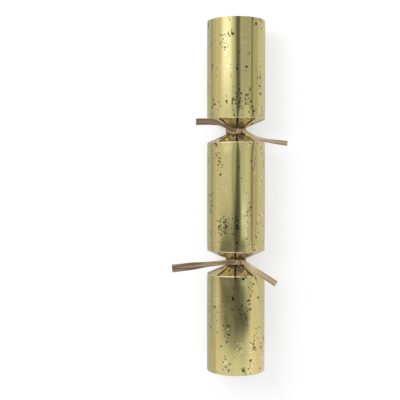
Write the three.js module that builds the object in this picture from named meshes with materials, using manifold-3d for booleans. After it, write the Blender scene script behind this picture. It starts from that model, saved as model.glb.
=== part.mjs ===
// A Christmas cracker lying on its side, ready to pull. One sheet of gold foil card is rolled
// into three barrels. Between them it is slit all round into strips, and a paper ribbon draws
// the strips in to a narrow waist. Card liners stiffen the barrels, a snap runs from end to end
// through both waists, and the centre barrel holds a paper hat, a motto and a wooden top.
//
// Millimetres. +Y runs along the cracker to end A, +Z is up, and the origin is on the flat that
// the centre barrel rests on, half way along.
import * as THREE from 'three';
import { mergeVertices } from 'three/addons/utils/BufferGeometryUtils.js';
import Module from 'manifold-3d';

const wasm = await Module();
wasm.setup();

// Barrels and chokes
const BARREL_RADIUS = 25.4;
const CENTRE_LENGTH = 94;
const END_LENGTH = 85;
const CHOKE_LENGTH = 20.5;
const REST_FLAT_DEPTH = 0.2;
const FACET_FADE = 8;

// The foil card, and the strips that the slits leave in each choke
const CARD = 0.4;
const STRIPS = 10;
const SLIT_WIDTH = 1.2;
const WAIST_SLIT_WIDTH = 0.84;
const WAIST_RADIUS = 8;
const VALLEY_RADIUS = 4.4;
const FOLD_COLUMNS = 3;

// Clearances
const TEAR_GAP = 0.3;
const FIT = 0.3;
const GLUE_GAP = 0.1;
const LINER_FIT = 0.4;

// Card liners
const LINER_CARD = 0.6;
const LINER_SETBACK = 6;
const MOUTH_SETBACK = 0.5;

// The snap: a card strip from each end, overlapping in a paper sleeve
const SNAP_WIDTH = 7;
const SNAP_CARD = 0.4;
const SNAP_OVERLAP = 24;
const SNAP_STRAIGHT = 2.5;
const SNAP_BEND = 28;
const SNAP_MOUTH_GAP = 12.5;
const PAD_LENGTH = 18;
const PAD_WIDTH = 5;
const PAD_THICKNESS = 0.3;
const SLEEVE_LENGTH = 22;
const SLEEVE_PAPER = 0.3;
const GLUE_LENGTH = 14;
const GLUE_THICKNESS = 0.25;

// Ribbon ties
const RIBBON_WIDTH = 4.6;
const RIBBON_THICKNESS = 0.7;
const KNOT_LENGTH = 8.4;
const KNOT_WIDTH = 5.4;
const KNOT_HEIGHT = 3.6;

// A tail runs from its knot over the edge of a barrel to its cut tip. Places are in plan from
// the middle of its own choke, and heights are over the cracker's axis.
const TIES = [
  {
    name: 'tie_a',
    end: 1,
    knot: { x: 1.8, y: -0.6 },
    tails: [
      { crestX: -18, crestY: 3.6, tipX: -35, tipY: 7.3, tipHeight: 15.5, rootWidth: 3.2, tipWidth: 5.3 },
      { crestX: 18, crestY: -4.8, tipX: 43.4, tipY: -11.2, tipHeight: 14.5, rootWidth: 3.4, tipWidth: 4.3 },
    ],
  },
  {
    name: 'tie_b',
    end: -1,
    knot: { x: 1.3, y: 0.4 },
    tails: [
      { crestX: -18, crestY: -1.4, tipX: -55.4, tipY: -4.4, tipHeight: 23.5, rootWidth: 3.2, tipWidth: 6.4 },
      { crestX: 15, crestY: -7.2, tipX: 33.7, tipY: -17.3, tipHeight: 18.5, rootWidth: 3.4, tipWidth: 4.8 },
    ],
  },
];

// What the centre barrel holds
const HAT_RADIUS = 8.2;
const HAT_CORE_RADIUS = 2.6;
const HAT_TURNS = 3;
const HAT_LAYER = 1.2;
const HAT_LENGTH = 74;
const BAND_WIDTH = 10;
const BAND_THICKNESS = 0.4;
const MOTTO_RADIUS = 3.5;
const MOTTO_CORE_RADIUS = 1.2;
const MOTTO_TURNS = 3;
const MOTTO_PAPER = 0.3;
const MOTTO_LENGTH = 60;
const MOTTO_PLACE = -6;
const TOP_RADIUS = 9;
const TOP_THICKNESS = 7;
const TOP_PLACE = 12;
const PEG_RADIUS = 1.5;
const PEG_LENGTH = 28;
const PEG_TIP = 3;

const ROUND_SEGMENTS = 40;
const SMALL_SEGMENTS = 24;

// Places that follow from the sizes above
const axisHeight = BARREL_RADIUS - REST_FLAT_DEPTH;
const cardRadius = BARREL_RADIUS - CARD / 2;
const centreCrease = CENTRE_LENGTH / 2;
const waistPlace = centreCrease + CHOKE_LENGTH / 2;
const endCrease = centreCrease + CHOKE_LENGTH;
const halfLength = endCrease + END_LENGTH;
const landHalf = RIBBON_WIDTH / 2 + FIT;
const creaseCorner = cardRadius * (Math.PI / STRIPS) / Math.sin(Math.PI / STRIPS);
const edgeRadius = creaseCorner + CARD / 2;
const linerOuter = BARREL_RADIUS - CARD - LINER_FIT;
const linerInner = linerOuter - LINER_CARD;
const ringInner = WAIST_RADIUS + CARD / 2 + FIT;
const ringOuter = ringInner + RIBBON_THICKNESS;
const knotPlace = ringInner + KNOT_HEIGHT / 2;

const finishes = {
  foil: { color: 0xbdb274, roughness: 0.28, metalness: 0.9 },
  liner: { color: 0xcfc6b2, roughness: 0.9, metalness: 0 },
  ribbon: { color: 0xa8825f, roughness: 0.75, metalness: 0 },
  snapCard: { color: 0xd8cfba, roughness: 0.85, metalness: 0 },
  charge: { color: 0x6f6a66, roughness: 0.7, metalness: 0.2 },
  abrasive: { color: 0x4a3a33, roughness: 0.95, metalness: 0 },
  sleeve: { color: 0xb99a72, roughness: 0.9, metalness: 0 },
  glue: { color: 0xe9e2c8, roughness: 0.4, metalness: 0 },
  tissue: { color: 0xb3202c, roughness: 0.9, metalness: 0 },
  band: { color: 0xf1ede2, roughness: 0.85, metalness: 0 },
  paper: { color: 0xf6f3ea, roughness: 0.9, metalness: 0 },
  wood: { color: 0xc79a63, roughness: 0.6, metalness: 0 },
};

function piece(parent, name, geometry, finish) {
  const mesh = new THREE.Mesh(geometry, new THREE.MeshStandardMaterial(finishes[finish]));
  mesh.name = name;
  parent.add(mesh);
  return mesh;
}

// A point round the cracker's axis. The angle starts at the top and turns towards +X.
function around(radius, angle, y) {
  return new THREE.Vector3(radius * Math.sin(angle), y, radius * Math.cos(angle));
}

// The three shapes that the card takes across the cracker. Each gives the point of a strip at
// place u, from -1 at one slit over 0 at the strip's middle to 1 at the next slit.
function roundSection(strip, u, y) {
  return around(cardRadius, stripAngle(strip, u), y);
}

// At a crease each strip is folded along a straight line, so the card is a polygon there.
function creaseSection(strip, u, y) {
  const turn = stripAngle(strip, u);
  const flatMiddle = creaseCorner * Math.cos(Math.PI / STRIPS);
  return around(flatMiddle / Math.cos(turn - stripAngle(strip, 0)), turn, y);
}

// At the waist each strip is folded in a V, with its valley towards the axis.
function waistSection(strip, u, y) {
  const edgeTurn = Math.PI / STRIPS - Math.asin(WAIST_SLIT_WIDTH / 2 / WAIST_RADIUS);
  const middle = stripAngle(strip, 0);
  const valley = around(VALLEY_RADIUS, middle, y);
  const edge = around(WAIST_RADIUS, middle + Math.sign(u) * edgeTurn, y);
  return valley.lerp(edge, Math.abs(u));
}

function stripAngle(strip, u) {
  const halfSlit = SLIT_WIDTH / 2 / cardRadius;
  return (strip + 0.5) * 2 * Math.PI / STRIPS + u * (Math.PI / STRIPS - halfSlit);
}

// A closed ring of card from a list of cross-sections along Y. The grid has a column of cells
// for each part of a strip and one for each slit, and the slits are left open between the
// sections that are marked as cut. Where the card would pass below the table it lies flat on it.
function cardSheet(sections) {
  const perStrip = 2 * FOLD_COLUMNS + 1;
  const columns = STRIPS * perStrip;
  const middle = (column, row) => {
    const strip = Math.floor(column / perStrip);
    const u = (column % perStrip) / FOLD_COLUMNS - 1;
    return sections[row].shape(strip, u, sections[row].y);
  };
  const present = (column, row) => {
    const inRange = row >= 0 && row < sections.length - 1;
    const inSlit = column % perStrip === perStrip - 1;
    return inRange && !(inSlit && sections[row].cut && sections[row + 1].cut);
  };
  const next = (column) => (column + 1) % columns;
  const previous = (column) => (column + columns - 1) % columns;

  const normalOfCell = (column, row) => {
    const across = middle(next(column), row + 1).sub(middle(column, row));
    const along = middle(column, row + 1).sub(middle(next(column), row));
    return across.cross(along).normalize();
  };
  const cellsAt = (column, row) => [
    [column, row],
    [previous(column), row],
    [column, row - 1],
    [previous(column), row - 1],
  ].filter(([c, r]) => present(c, r));
  const thicknessAt = (column, row) => {
    const normals = cellsAt(column, row).map(([c, r]) => normalOfCell(c, r));
    const sum = normals.reduce((total, n) => total.add(n), new THREE.Vector3()).normalize();
    const lean = Math.max(0.5, sum.dot(normalOfCell(...cellsAt(column, row)[0])));
    return sum.multiplyScalar(CARD / 2 / lean);
  };

  const positions = [];
  for (let row = 0; row < sections.length; row += 1) {
    for (let column = 0; column < columns; column += 1) {
      const half = thicknessAt(column, row);
      const outside = middle(column, row).add(half);
      const inside = middle(column, row).sub(half);
      positions.push(outside.x, outside.y, Math.max(outside.z, -axisHeight));
      positions.push(inside.x, inside.y, Math.max(inside.z, CARD - axisHeight));
    }
  }
  const outer = (column, row) => 2 * (row * columns + column);
  const inner = (column, row) => outer(column, row) + 1;
  const faces = [];
  const quad = (a, b, c, d) => faces.push(a, b, c, a, c, d);
  for (let row = 0; row < sections.length - 1; row += 1) {
    for (let column = 0; column < columns; column += 1) {
      if (!present(column, row)) continue;
      const right = next(column);
      const corners = [[column, row], [right, row], [right, row + 1], [column, row + 1]];
      quad(...corners.map((corner) => outer(...corner)));
      quad(...corners.toReversed().map((corner) => inner(...corner)));
      const beside = [[column, row - 1], [right, row], [column, row + 1], [previous(column), row]];
      beside.forEach((cell, side) => {
        if (present(...cell)) return;
        const [from, to] = [corners[side], corners[(side + 1) % 4]];
        quad(outer(...to), outer(...from), inner(...from), inner(...to));
      });
    }
  }
  return closedGeometry(positions, faces);
}

function closedGeometry(positions, faces) {
  const geometry = new THREE.BufferGeometry();
  geometry.setAttribute('position', new THREE.Float32BufferAttribute(positions, 3));
  geometry.setIndex(faces);
  const flat = geometry.toNonIndexed();
  flat.computeVertexNormals();
  return flat;
}

// The rows of a choke's half, from the waist out to a crease and on to where the barrel is round
function chokeRows(waist, crease) {
  const outward = Math.sign(crease - waist);
  return [
    { y: waist + outward * TEAR_GAP / 2, shape: waistSection, cut: true },
    { y: waist + outward * landHalf, shape: waistSection, cut: true },
    { y: crease, shape: creaseSection, cut: true },
    { y: crease + outward * FACET_FADE, shape: roundSection, cut: false },
  ];
}

// A tube round the Y axis with a square-cut wall
function tube(innerRadius, outerRadius, fromY, toY, segments) {
  const profile = [
    new THREE.Vector2(innerRadius, fromY),
    new THREE.Vector2(outerRadius, fromY),
    new THREE.Vector2(outerRadius, toY),
    new THREE.Vector2(innerRadius, toY),
    new THREE.Vector2(innerRadius, fromY),
  ];
  return new THREE.LatheGeometry(profile, segments);
}

// A flat strap through a list of stations, each with its centre, its side direction and width
function strap(stations, thickness) {
  const positions = [];
  stations.forEach(({ centre, side, width }, index) => {
    const before = stations[Math.max(index - 1, 0)].centre;
    const after = stations[Math.min(index + 1, stations.length - 1)].centre;
    const forward = after.clone().sub(before).normalize();
    const up = forward.clone().cross(side).normalize();
    for (const [across, over] of [[-1, -1], [1, -1], [1, 1], [-1, 1]]) {
      const corner = centre.clone()
        .addScaledVector(side, across * width / 2)
        .addScaledVector(up, over * thickness / 2);
      positions.push(...corner.toArray());
    }
  });
  const faces = [];
  const quad = (a, b, c, d) => faces.push(a, b, c, a, c, d);
  for (let index = 0; index < stations.length - 1; index += 1) {
    for (let corner = 0; corner < 4; corner += 1) {
      const next = (corner + 1) % 4;
      quad(4 * index + corner, 4 * index + next, 4 * index + 4 + next, 4 * index + 4 + corner);
    }
  }
  const last = 4 * (stations.length - 1);
  quad(3, 2, 1, 0);
  quad(last, last + 1, last + 2, last + 3);
  return closedGeometry(positions, faces);
}

// A sheet rolled into a spiral round the Y axis, seen along it as one long curled outline
function rolledSheet(coreRadius, outerRadius, turns, layer, length) {
  const steps = turns * SMALL_SEGMENTS;
  const spiral = (offset) => Array.from({ length: steps + 1 }, (_, step) => {
    const share = step / steps;
    const radius = coreRadius + layer / 2 + share * (outerRadius - coreRadius - layer) + offset;
    const angle = 2 * Math.PI * turns * share;
    return new THREE.Vector2(radius * Math.cos(angle), radius * Math.sin(angle));
  });
  const outline = [...spiral(layer / 2), ...spiral(-layer / 2).reverse()];
  const settings = { depth: length, bevelEnabled: false };
  const geometry = new THREE.ExtrudeGeometry(new THREE.Shape(outline), settings);
  geometry.translate(0, 0, -length / 2);
  geometry.rotateX(-Math.PI / 2);
  return geometry;
}

// Booleans
function solidOf(geometry) {
  const bare = new THREE.BufferGeometry();
  bare.setAttribute('position', geometry.getAttribute('position').clone());
  if (geometry.index) bare.setIndex(geometry.index.clone());
  const merged = mergeVertices(bare, 1e-4);
  return new wasm.Manifold(new wasm.Mesh({
    numProp: 3,
    vertProperties: merged.attributes.position.array,
    triVerts: new Uint32Array(merged.index.array),
  }));
}

function geometryOf(solid) {
  const mesh = solid.getMesh();
  return closedGeometry(mesh.vertProperties, [...mesh.triVerts]);
}

function joined(geometries) {
  return geometryOf(geometries.map(solidOf).reduce((sum, solid) => sum.add(solid)));
}

// The foil card: one sheet on the real cracker, which tears at the two waists, so it is three
// pieces here that meet edge to edge under the ribbons.
function wrapCentre() {
  const towardsB = chokeRows(-waistPlace, -centreCrease);
  const towardsA = chokeRows(waistPlace, centreCrease).toReversed();
  return cardSheet([...towardsB, ...towardsA]);
}

function wrapEnd() {
  const mouth = { y: halfLength, shape: roundSection, cut: false };
  return cardSheet([...chokeRows(waistPlace, endCrease), mouth]);
}

// Ribbon tie: a loop round the waist, a knot on top and two tails
function tailStations(tail, knot, waist) {
  const start = new THREE.Vector3(knot.x, waist + knot.y, knotPlace);
  const edgeClear = edgeRadius + FIT + RIBBON_THICKNESS / 2;
  const crestHeight = Math.sqrt(edgeClear ** 2 - tail.crestX ** 2);
  const crest = new THREE.Vector3(tail.crestX, waist + tail.crestY, crestHeight);
  const tip = new THREE.Vector3(tail.tipX, waist + tail.tipY, tail.tipHeight);
  const route = new THREE.CatmullRomCurve3([start, crest, tip], false, 'centripetal');
  const steps = 8;
  return Array.from({ length: steps + 1 }, (_, step) => {
    const share = step / steps;
    const forward = route.getTangent(share);
    const side = new THREE.Vector3(-forward.y, forward.x, 0).normalize();
    const spread = Math.min(1, 2 * share);
    const width = tail.rootWidth + spread * (tail.tipWidth - tail.rootWidth);
    return { centre: route.getPoint(share), side, width };
  });
}

function ribbonTie({ end, knot, tails }) {
  const waist = end * waistPlace;
  const half = RIBBON_WIDTH / 2;
  const loop = tube(ringInner, ringOuter, waist - half, waist + half, ROUND_SEGMENTS);
  const lump = new THREE.SphereGeometry(0.5, 12, 8);
  lump.scale(KNOT_LENGTH, KNOT_WIDTH, KNOT_HEIGHT);
  lump.translate(knot.x, waist + knot.y, knotPlace);
  const straps = tails.map((tail) => strap(tailStations(tail, knot, waist), RIBBON_THICKNESS));
  return joined([loop, lump, ...straps]);
}

// Snap, as it lies in end A: straight through the waist, then over to the barrel's wall
const snapFace = FIT / 2 + PAD_THICKNESS + GLUE_GAP;
const snapPlace = snapFace + SNAP_CARD / 2;
const snapWallFace = Math.sqrt(linerInner ** 2 - (SNAP_WIDTH / 2) ** 2) - FIT;

function snapStrip() {
  const bendFrom = endCrease + SNAP_STRAIGHT;
  const wallPlace = snapWallFace - SNAP_CARD / 2;
  const steps = 10;
  const route = [new THREE.Vector3(snapPlace, -SNAP_OVERLAP / 2, 0)];
  for (let step = 0; step <= steps; step += 1) {
    const share = step / steps;
    const x = THREE.MathUtils.lerp(snapPlace, wallPlace, THREE.MathUtils.smoothstep(share, 0, 1));
    route.push(new THREE.Vector3(x, bendFrom + share * SNAP_BEND, 0));
  }
  route.push(new THREE.Vector3(wallPlace, halfLength - SNAP_MOUTH_GAP, 0));
  const side = new THREE.Vector3(0, 0, 1);
  return strap(route.map((centre) => ({ centre, side, width: SNAP_WIDTH })), SNAP_CARD);
}

function snapPad() {
  const pad = new THREE.BoxGeometry(PAD_THICKNESS, PAD_LENGTH, PAD_WIDTH);
  return pad.translate(FIT / 2 + PAD_THICKNESS / 2, 0, 0);
}

function snapGlue() {
  const dab = new THREE.BoxGeometry(GLUE_THICKNESS, GLUE_LENGTH, PAD_WIDTH);
  const place = halfLength - SNAP_MOUTH_GAP - GLUE_LENGTH;
  return dab.translate(snapWallFace + GLUE_GAP + GLUE_THICKNESS / 2, place, 0);
}

function snapSleeve() {
  const rectangle = (width, height) => [
    new THREE.Vector2(-width / 2, -height / 2),
    new THREE.Vector2(width / 2, -height / 2),
    new THREE.Vector2(width / 2, height / 2),
    new THREE.Vector2(-width / 2, height / 2),
  ];
  const boreWidth = 2 * (snapFace + SNAP_CARD + FIT);
  const boreHeight = SNAP_WIDTH + 2 * FIT;
  const wall = 2 * SLEEVE_PAPER;
  const outline = new THREE.Shape(rectangle(boreWidth + wall, boreHeight + wall));
  outline.holes.push(new THREE.Path(rectangle(boreWidth, boreHeight)));
  const settings = { depth: SLEEVE_LENGTH, bevelEnabled: false };
  const sleeve = new THREE.ExtrudeGeometry(outline, settings);
  sleeve.translate(0, 0, -SLEEVE_LENGTH / 2);
  return sleeve.rotateX(Math.PI / 2);
}

// The wooden top: a bevelled disc on a turned peg, both round the Y axis
function topDisc() {
  const half = TOP_THICKNESS / 2;
  const bore = PEG_RADIUS + FIT;
  const profile = [
    [bore, -half],
    [TOP_RADIUS * 0.5, -half],
    [TOP_RADIUS, -half * 0.2],
    [TOP_RADIUS, half * 0.5],
    [TOP_RADIUS * 0.8, half],
    [bore, half],
    [bore, -half],
  ].map(([radius, y]) => new THREE.Vector2(radius, y));
  return new THREE.LatheGeometry(profile, SMALL_SEGMENTS);
}

function topPeg() {
  const half = PEG_LENGTH / 2;
  const profile = [
    [0, -half],
    [PEG_RADIUS, -half + PEG_TIP],
    [PEG_RADIUS, half - PEG_RADIUS / 2],
    [PEG_RADIUS / 2, half],
    [0, half],
  ].map(([radius, y]) => new THREE.Vector2(radius, y));
  return new THREE.LatheGeometry(profile, SMALL_SEGMENTS);
}

// Three rolls lie in the bottom of the centre liner: the motto lowest, with the hat and the
// top against it on either side. Each lane is a place on a circle that keeps its roll clear.
function lane(radius, angleFromBottom) {
  const reach = linerInner - FIT - radius;
  return new THREE.Vector3(
    reach * Math.sin(angleFromBottom),
    0,
    -reach * Math.cos(angleFromBottom),
  );
}

function angleBeside(radius, neighbourRadius) {
  const reach = linerInner - FIT - radius;
  const neighbourReach = linerInner - FIT - neighbourRadius;
  const apart = radius + neighbourRadius + FIT;
  const cosine = (reach ** 2 + neighbourReach ** 2 - apart ** 2) / (2 * reach * neighbourReach);
  return Math.acos(cosine);
}

const cracker = new THREE.Group();
cracker.position.z = axisHeight;

const centre = new THREE.Group();
cracker.add(centre);
piece(centre, 'wrap_centre', wrapCentre(), 'foil');
const centreLinerHalf = centreCrease - LINER_SETBACK;
const centreLiner = tube(linerInner, linerOuter, -centreLinerHalf, centreLinerHalf, ROUND_SEGMENTS);
piece(centre, 'liner_centre', centreLiner, 'liner');
piece(centre, 'snap_sleeve', snapSleeve(), 'sleeve');
for (const tie of TIES) {
  piece(centre, tie.name, ribbonTie(tie), 'ribbon');
}

// The two ends are alike, turned half a turn about the vertical
for (const [letter, turn, pad] of [['a', 0, 'charge'], ['b', Math.PI, 'abrasive']]) {
  const end = new THREE.Group();
  end.rotation.z = turn;
  cracker.add(end);
  piece(end, `wrap_end_${letter}`, wrapEnd(), 'foil');
  const linerFrom = endCrease + LINER_SETBACK;
  const linerTo = halfLength - MOUTH_SETBACK;
  const endLiner = tube(linerInner, linerOuter, linerFrom, linerTo, ROUND_SEGMENTS);
  piece(end, `liner_end_${letter}`, endLiner, 'liner');
  piece(end, `snap_strip_${letter}`, snapStrip(), 'snapCard');
  piece(end, `snap_${pad}`, snapPad(), pad);
  piece(end, `snap_glue_${letter}`, snapGlue(), 'glue');
}

const bandOuter = HAT_RADIUS + FIT + BAND_THICKNESS;
const hat = new THREE.Group();
hat.position.copy(lane(bandOuter, -angleBeside(bandOuter, MOTTO_RADIUS)));
cracker.add(hat);
const hatRoll = rolledSheet(HAT_CORE_RADIUS, HAT_RADIUS, HAT_TURNS, HAT_LAYER, HAT_LENGTH);
piece(hat, 'paper_hat', hatRoll, 'tissue');
const hatBand = tube(HAT_RADIUS + FIT, bandOuter, -BAND_WIDTH / 2, BAND_WIDTH / 2, SMALL_SEGMENTS);
piece(hat, 'hat_band', hatBand, 'band');

const motto = new THREE.Group();
motto.position.copy(lane(MOTTO_RADIUS, 0));
motto.position.y = MOTTO_PLACE;
cracker.add(motto);
const mottoRoll = rolledSheet(
  MOTTO_CORE_RADIUS,
  MOTTO_RADIUS,
  MOTTO_TURNS,
  MOTTO_PAPER,
  MOTTO_LENGTH,
);
piece(motto, 'motto_slip', mottoRoll, 'paper');

const gift = new THREE.Group();
gift.position.copy(lane(TOP_RADIUS, angleBeside(TOP_RADIUS, MOTTO_RADIUS)));
gift.position.y = TOP_PLACE;
cracker.add(gift);
piece(gift, 'gift_top_disc', topDisc(), 'wood');
piece(gift, 'gift_top_peg', topPeg(), 'wood');

export default cracker;
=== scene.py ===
"""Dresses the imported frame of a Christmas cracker: gold foil card, paper ribbons, card linings,
the snap, a paper hat, a motto and a wooden top.

The cracker lies along Y with end A towards +Y, rests on the plane z = 0, and +Z is up. Lengths
are in metres. Angles round the cracker start at its top and turn towards +X.
"""

import math
import random

import bmesh
import bpy
import numpy as np
from bpy.props import FloatProperty, FloatVectorProperty, IntProperty, PointerProperty
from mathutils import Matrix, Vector, noise


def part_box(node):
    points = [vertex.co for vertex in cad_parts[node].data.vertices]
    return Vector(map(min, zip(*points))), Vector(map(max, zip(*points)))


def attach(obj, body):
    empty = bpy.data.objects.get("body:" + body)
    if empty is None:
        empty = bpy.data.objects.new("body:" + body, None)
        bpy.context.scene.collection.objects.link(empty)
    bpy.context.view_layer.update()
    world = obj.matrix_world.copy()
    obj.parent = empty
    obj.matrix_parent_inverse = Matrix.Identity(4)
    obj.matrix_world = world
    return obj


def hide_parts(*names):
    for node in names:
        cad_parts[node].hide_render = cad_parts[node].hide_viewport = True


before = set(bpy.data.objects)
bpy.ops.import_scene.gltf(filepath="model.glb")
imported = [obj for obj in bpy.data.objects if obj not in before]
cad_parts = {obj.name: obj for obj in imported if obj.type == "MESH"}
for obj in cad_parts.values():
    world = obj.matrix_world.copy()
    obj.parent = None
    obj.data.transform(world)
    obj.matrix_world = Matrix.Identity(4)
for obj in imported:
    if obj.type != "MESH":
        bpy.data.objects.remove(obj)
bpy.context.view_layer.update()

bl_info = {
    "name": "Christmas cracker",
    "version": (1, 0, 0),
    "blender": (4, 5, 0),
    "location": "View3D > Sidebar > Cracker",
    "description": "Builds a gold foil Christmas cracker round its packed frame",
    "category": "Add Mesh",
}

MM = 0.001
TURN = 2 * math.pi
TINY = 1e-9
TINY_AREA = 1e-12

# Places that come from the frame
AXIS_HEIGHT = sum(corner.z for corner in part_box("snap_strip_a")) / 2
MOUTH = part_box("wrap_end_a")[1].y
LINING_OUTER = (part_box("liner_centre")[1].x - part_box("liner_centre")[0].x) / 2


def length_property(name, description, millimetres):
    """A length that the user can change."""
    return FloatProperty(
        name=name, description=description, default=millimetres * MM, unit="LENGTH"
    )


def share_property(name, description, share):
    """A share from 0 to 1 that the user can change."""
    return FloatProperty(name=name, description=description, default=share, min=0, max=1)


def colour_property(name, description, rgb):
    """A colour that the user can change."""
    return FloatVectorProperty(name=name, description=description, default=rgb, subtype="COLOR")


class CardSizes(bpy.types.PropertyGroup):
    """Sizes of the foil card and its folds"""

    barrel_radius: length_property("Barrel radius", "Outside radius of the three barrels", 25.4)
    centre_length: length_property(
        "Centre barrel", "Length of the centre barrel between its creases", 94
    )
    choke_length: length_property(
        "Choke", "Length of card between a crease of the centre barrel and one of an end", 20.5
    )
    thickness: length_property("Card thickness", "Thickness of the foil card", 0.4)
    strips: IntProperty(
        name="Strips",
        description="How many strips the slits leave in each choke",
        default=10,
        min=6,
        max=16,
    )
    slit_width: length_property("Slit width", "Width of a slit where it meets the crease", 1.2)
    waist_radius: length_property(
        "Waist radius", "Radius that the edges of the strips are drawn in to", 8
    )
    valley_radius: length_property(
        "Valley radius", "Radius of the fold along the middle of each strip at the waist", 4.45
    )


class FoilLook(bpy.types.PropertyGroup):
    """Finish of the foil card"""

    foil_colour: colour_property("Foil", "Colour of the satin gold foil", (0.76, 0.68, 0.29))
    # Painted dark reflection: the polished dots get a near-black colour, so they look as dark as
    # the shade they mirror wherever they are.
    dark_dot_reflection_colour: colour_property(
        "Dots", "Colour of the polished dots in the foil", (0.12, 0.09, 0.035)
    )
    pale_dot_colour: colour_property(
        "Pale dots", "Colour of the brightest of the dots", (0.93, 0.87, 0.48)
    )
    card_colour: colour_property(
        "Card", "Colour of the bare card behind the foil and at its cut edges", (0.80, 0.78, 0.72)
    )
    back_colour: colour_property(
        "Card back", "Colour of the grey back of the card", (0.30, 0.28, 0.25)
    )
    # Painted shadow: the cut sides and rims of the slits are coloured near black, standing in for
    # the shade of the strip edges that turn in.
    slit_shadow_colour: colour_property(
        "Slit edge shadow", "Colour of the burnished edges of the slits", (0.10, 0.07, 0.035)
    )
    # Painted light: near the folds of the chokes the foil is painted paler and warmer and made less
    # metallic, standing in for the light that reaches the folded strips.
    fold_fill_light_colour: colour_property(
        "Painted fold light", "Colour of the foil where it is folded and crazed", (0.90, 0.74, 0.40)
    )
    creased_metallic: share_property(
        "Creased metallic", "How metallic the foil is where it is folded and crazed", 0.72
    )
    satin_roughness: share_property(
        "Satin roughness", "Roughness of the foil between the dots", 0.09
    )
    satin_metallic: share_property(
        "Satin metallic", "How much of the foil between the dots is bare metal", 0.90
    )
    dot_roughness: share_property("Dot roughness", "Roughness of the polished dots", 0.06)


class RibbonSizes(bpy.types.PropertyGroup):
    """Sizes and colours of the paper ribbons"""

    width: length_property("Width", "Width of the loop round the waist", 4.6)
    thickness: length_property("Thickness", "Thickness of the folded paper", 0.36)
    loop_radius: length_property("Loop radius", "Radius of the middle of the loop", 8.72)
    flat_colour: colour_property(
        "Flat", "Colour of the ribbon where it lies open", (0.185, 0.112, 0.062)
    )
    # Painted highlight: the gathered ridges are painted towards this lighter colour.
    ridge_highlight_colour: colour_property(
        "Light", "Colour of the ribbon on the ridges where it is gathered", (0.68, 0.52, 0.33)
    )
    # Painted shade: the creases are painted in this darker colour.
    crease_shade_colour: colour_property("Dark", "Colour of the ribbon in its creases", (0.12, 0.07, 0.036))


class PaperColours(bpy.types.PropertyGroup):
    """Colours of the plain papers and cards, and of the snap's coatings"""

    lining: colour_property("Lining", "Colour of the card linings", (0.56, 0.50, 0.41))
    snap: colour_property("Snap card", "Colour of the snap strips", (0.62, 0.56, 0.46))
    charge: colour_property("Charge", "Colour of the friction charge", (0.16, 0.15, 0.14))
    abrasive: colour_property("Abrasive", "Colour of the abrasive coating", (0.07, 0.045, 0.035))
    sleeve: colour_property("Sleeve", "Colour of the snap's paper sleeve", (0.48, 0.32, 0.17))
    glue: colour_property("Glue", "Colour of the dried glue", (0.80, 0.75, 0.58))
    tissue: colour_property("Tissue", "Colour of the paper hat", (0.55, 0.02, 0.035))
    band: colour_property("Band", "Colour of the band round the hat", (0.86, 0.83, 0.76))
    motto: colour_property("Motto", "Colour of the motto slip", (0.88, 0.86, 0.80))


class TopColours(bpy.types.PropertyGroup):
    """Colours of the wooden top"""

    wood: colour_property("Wood", "Colour of the turned wood", (0.58, 0.34, 0.14))
    first_ring: colour_property(
        "First ring", "Colour of the ring on the top's face", (0.50, 0.03, 0.02)
    )
    second_ring: colour_property(
        "Second ring", "Colour of the ring round the top's rim", (0.03, 0.22, 0.09)
    )


class StudioSizes(bpy.types.PropertyGroup):
    """The camera and the light"""

    camera_height: length_property("Camera height", "Height of the camera over the table", 687)
    camera_x: length_property("Camera across", "Place of the camera across the cracker", -31.6)
    camera_y: length_property("Camera along", "Place of the camera along the cracker", 17.8)
    camera_pitch: FloatProperty(
        name="Camera pitch",
        description="How far the camera leans back from straight down",
        default=math.radians(-1.8),
        unit="ROTATION",
    )
    lens: FloatProperty(
        name="Lens",
        description="Focal length in millimetres on a 36 mm sensor",
        default=67.7,
        min=10,
        max=200,
    )
    lamp_power: FloatProperty(
        name="Lamp",
        description="Power of the soft lamp to the upper left",
        default=4.2,
        unit="POWER",
    )


# Meshes

NOISE_SHIFT = Vector((7.31, 3.17, 1.73))
SHARP = 35


def smooth_path(points, steps):
    """A curve through all the points, with this many steps from each point to the next."""
    first = 2 * points[0] - points[1]
    last = 2 * points[-1] - points[-2]
    knots = [first, *points, last]
    path = []
    for a, b, c, d in zip(knots, knots[1:], knots[2:], knots[3:]):
        spans = [max(np.linalg.norm(q - p), TINY) ** 0.5 for p, q in ((a, b), (b, c), (c, d))]
        leave = (b - a) / spans[0] - (c - a) / (spans[0] + spans[1]) + (c - b) / spans[1]
        reach = (c - b) / spans[1] - (d - b) / (spans[1] + spans[2]) + (d - c) / spans[2]
        leave, reach = leave * spans[1], reach * spans[1]
        for step in range(steps):
            t = step / steps
            path.append(
                (2 * t**3 - 3 * t**2 + 1) * b
                + (t**3 - 2 * t**2 + t) * leave
                + (3 * t**2 - 2 * t**3) * c
                + (t**3 - t**2) * reach
            )
    path.append(points[-1])
    return np.array(path)


def soft_noise(points, size, seed):
    """Smooth random values between about -1 and 1, one for each point."""
    shift = seed * NOISE_SHIFT
    flat = (points / np.array(size)).reshape(-1, 3)
    return np.array([noise.noise(Vector(p) + shift) for p in flat]).reshape(points.shape[:-1])


def smooth_step(share):
    share = np.clip(share, 0, 1)
    return share * share * (3 - 2 * share)


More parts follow.
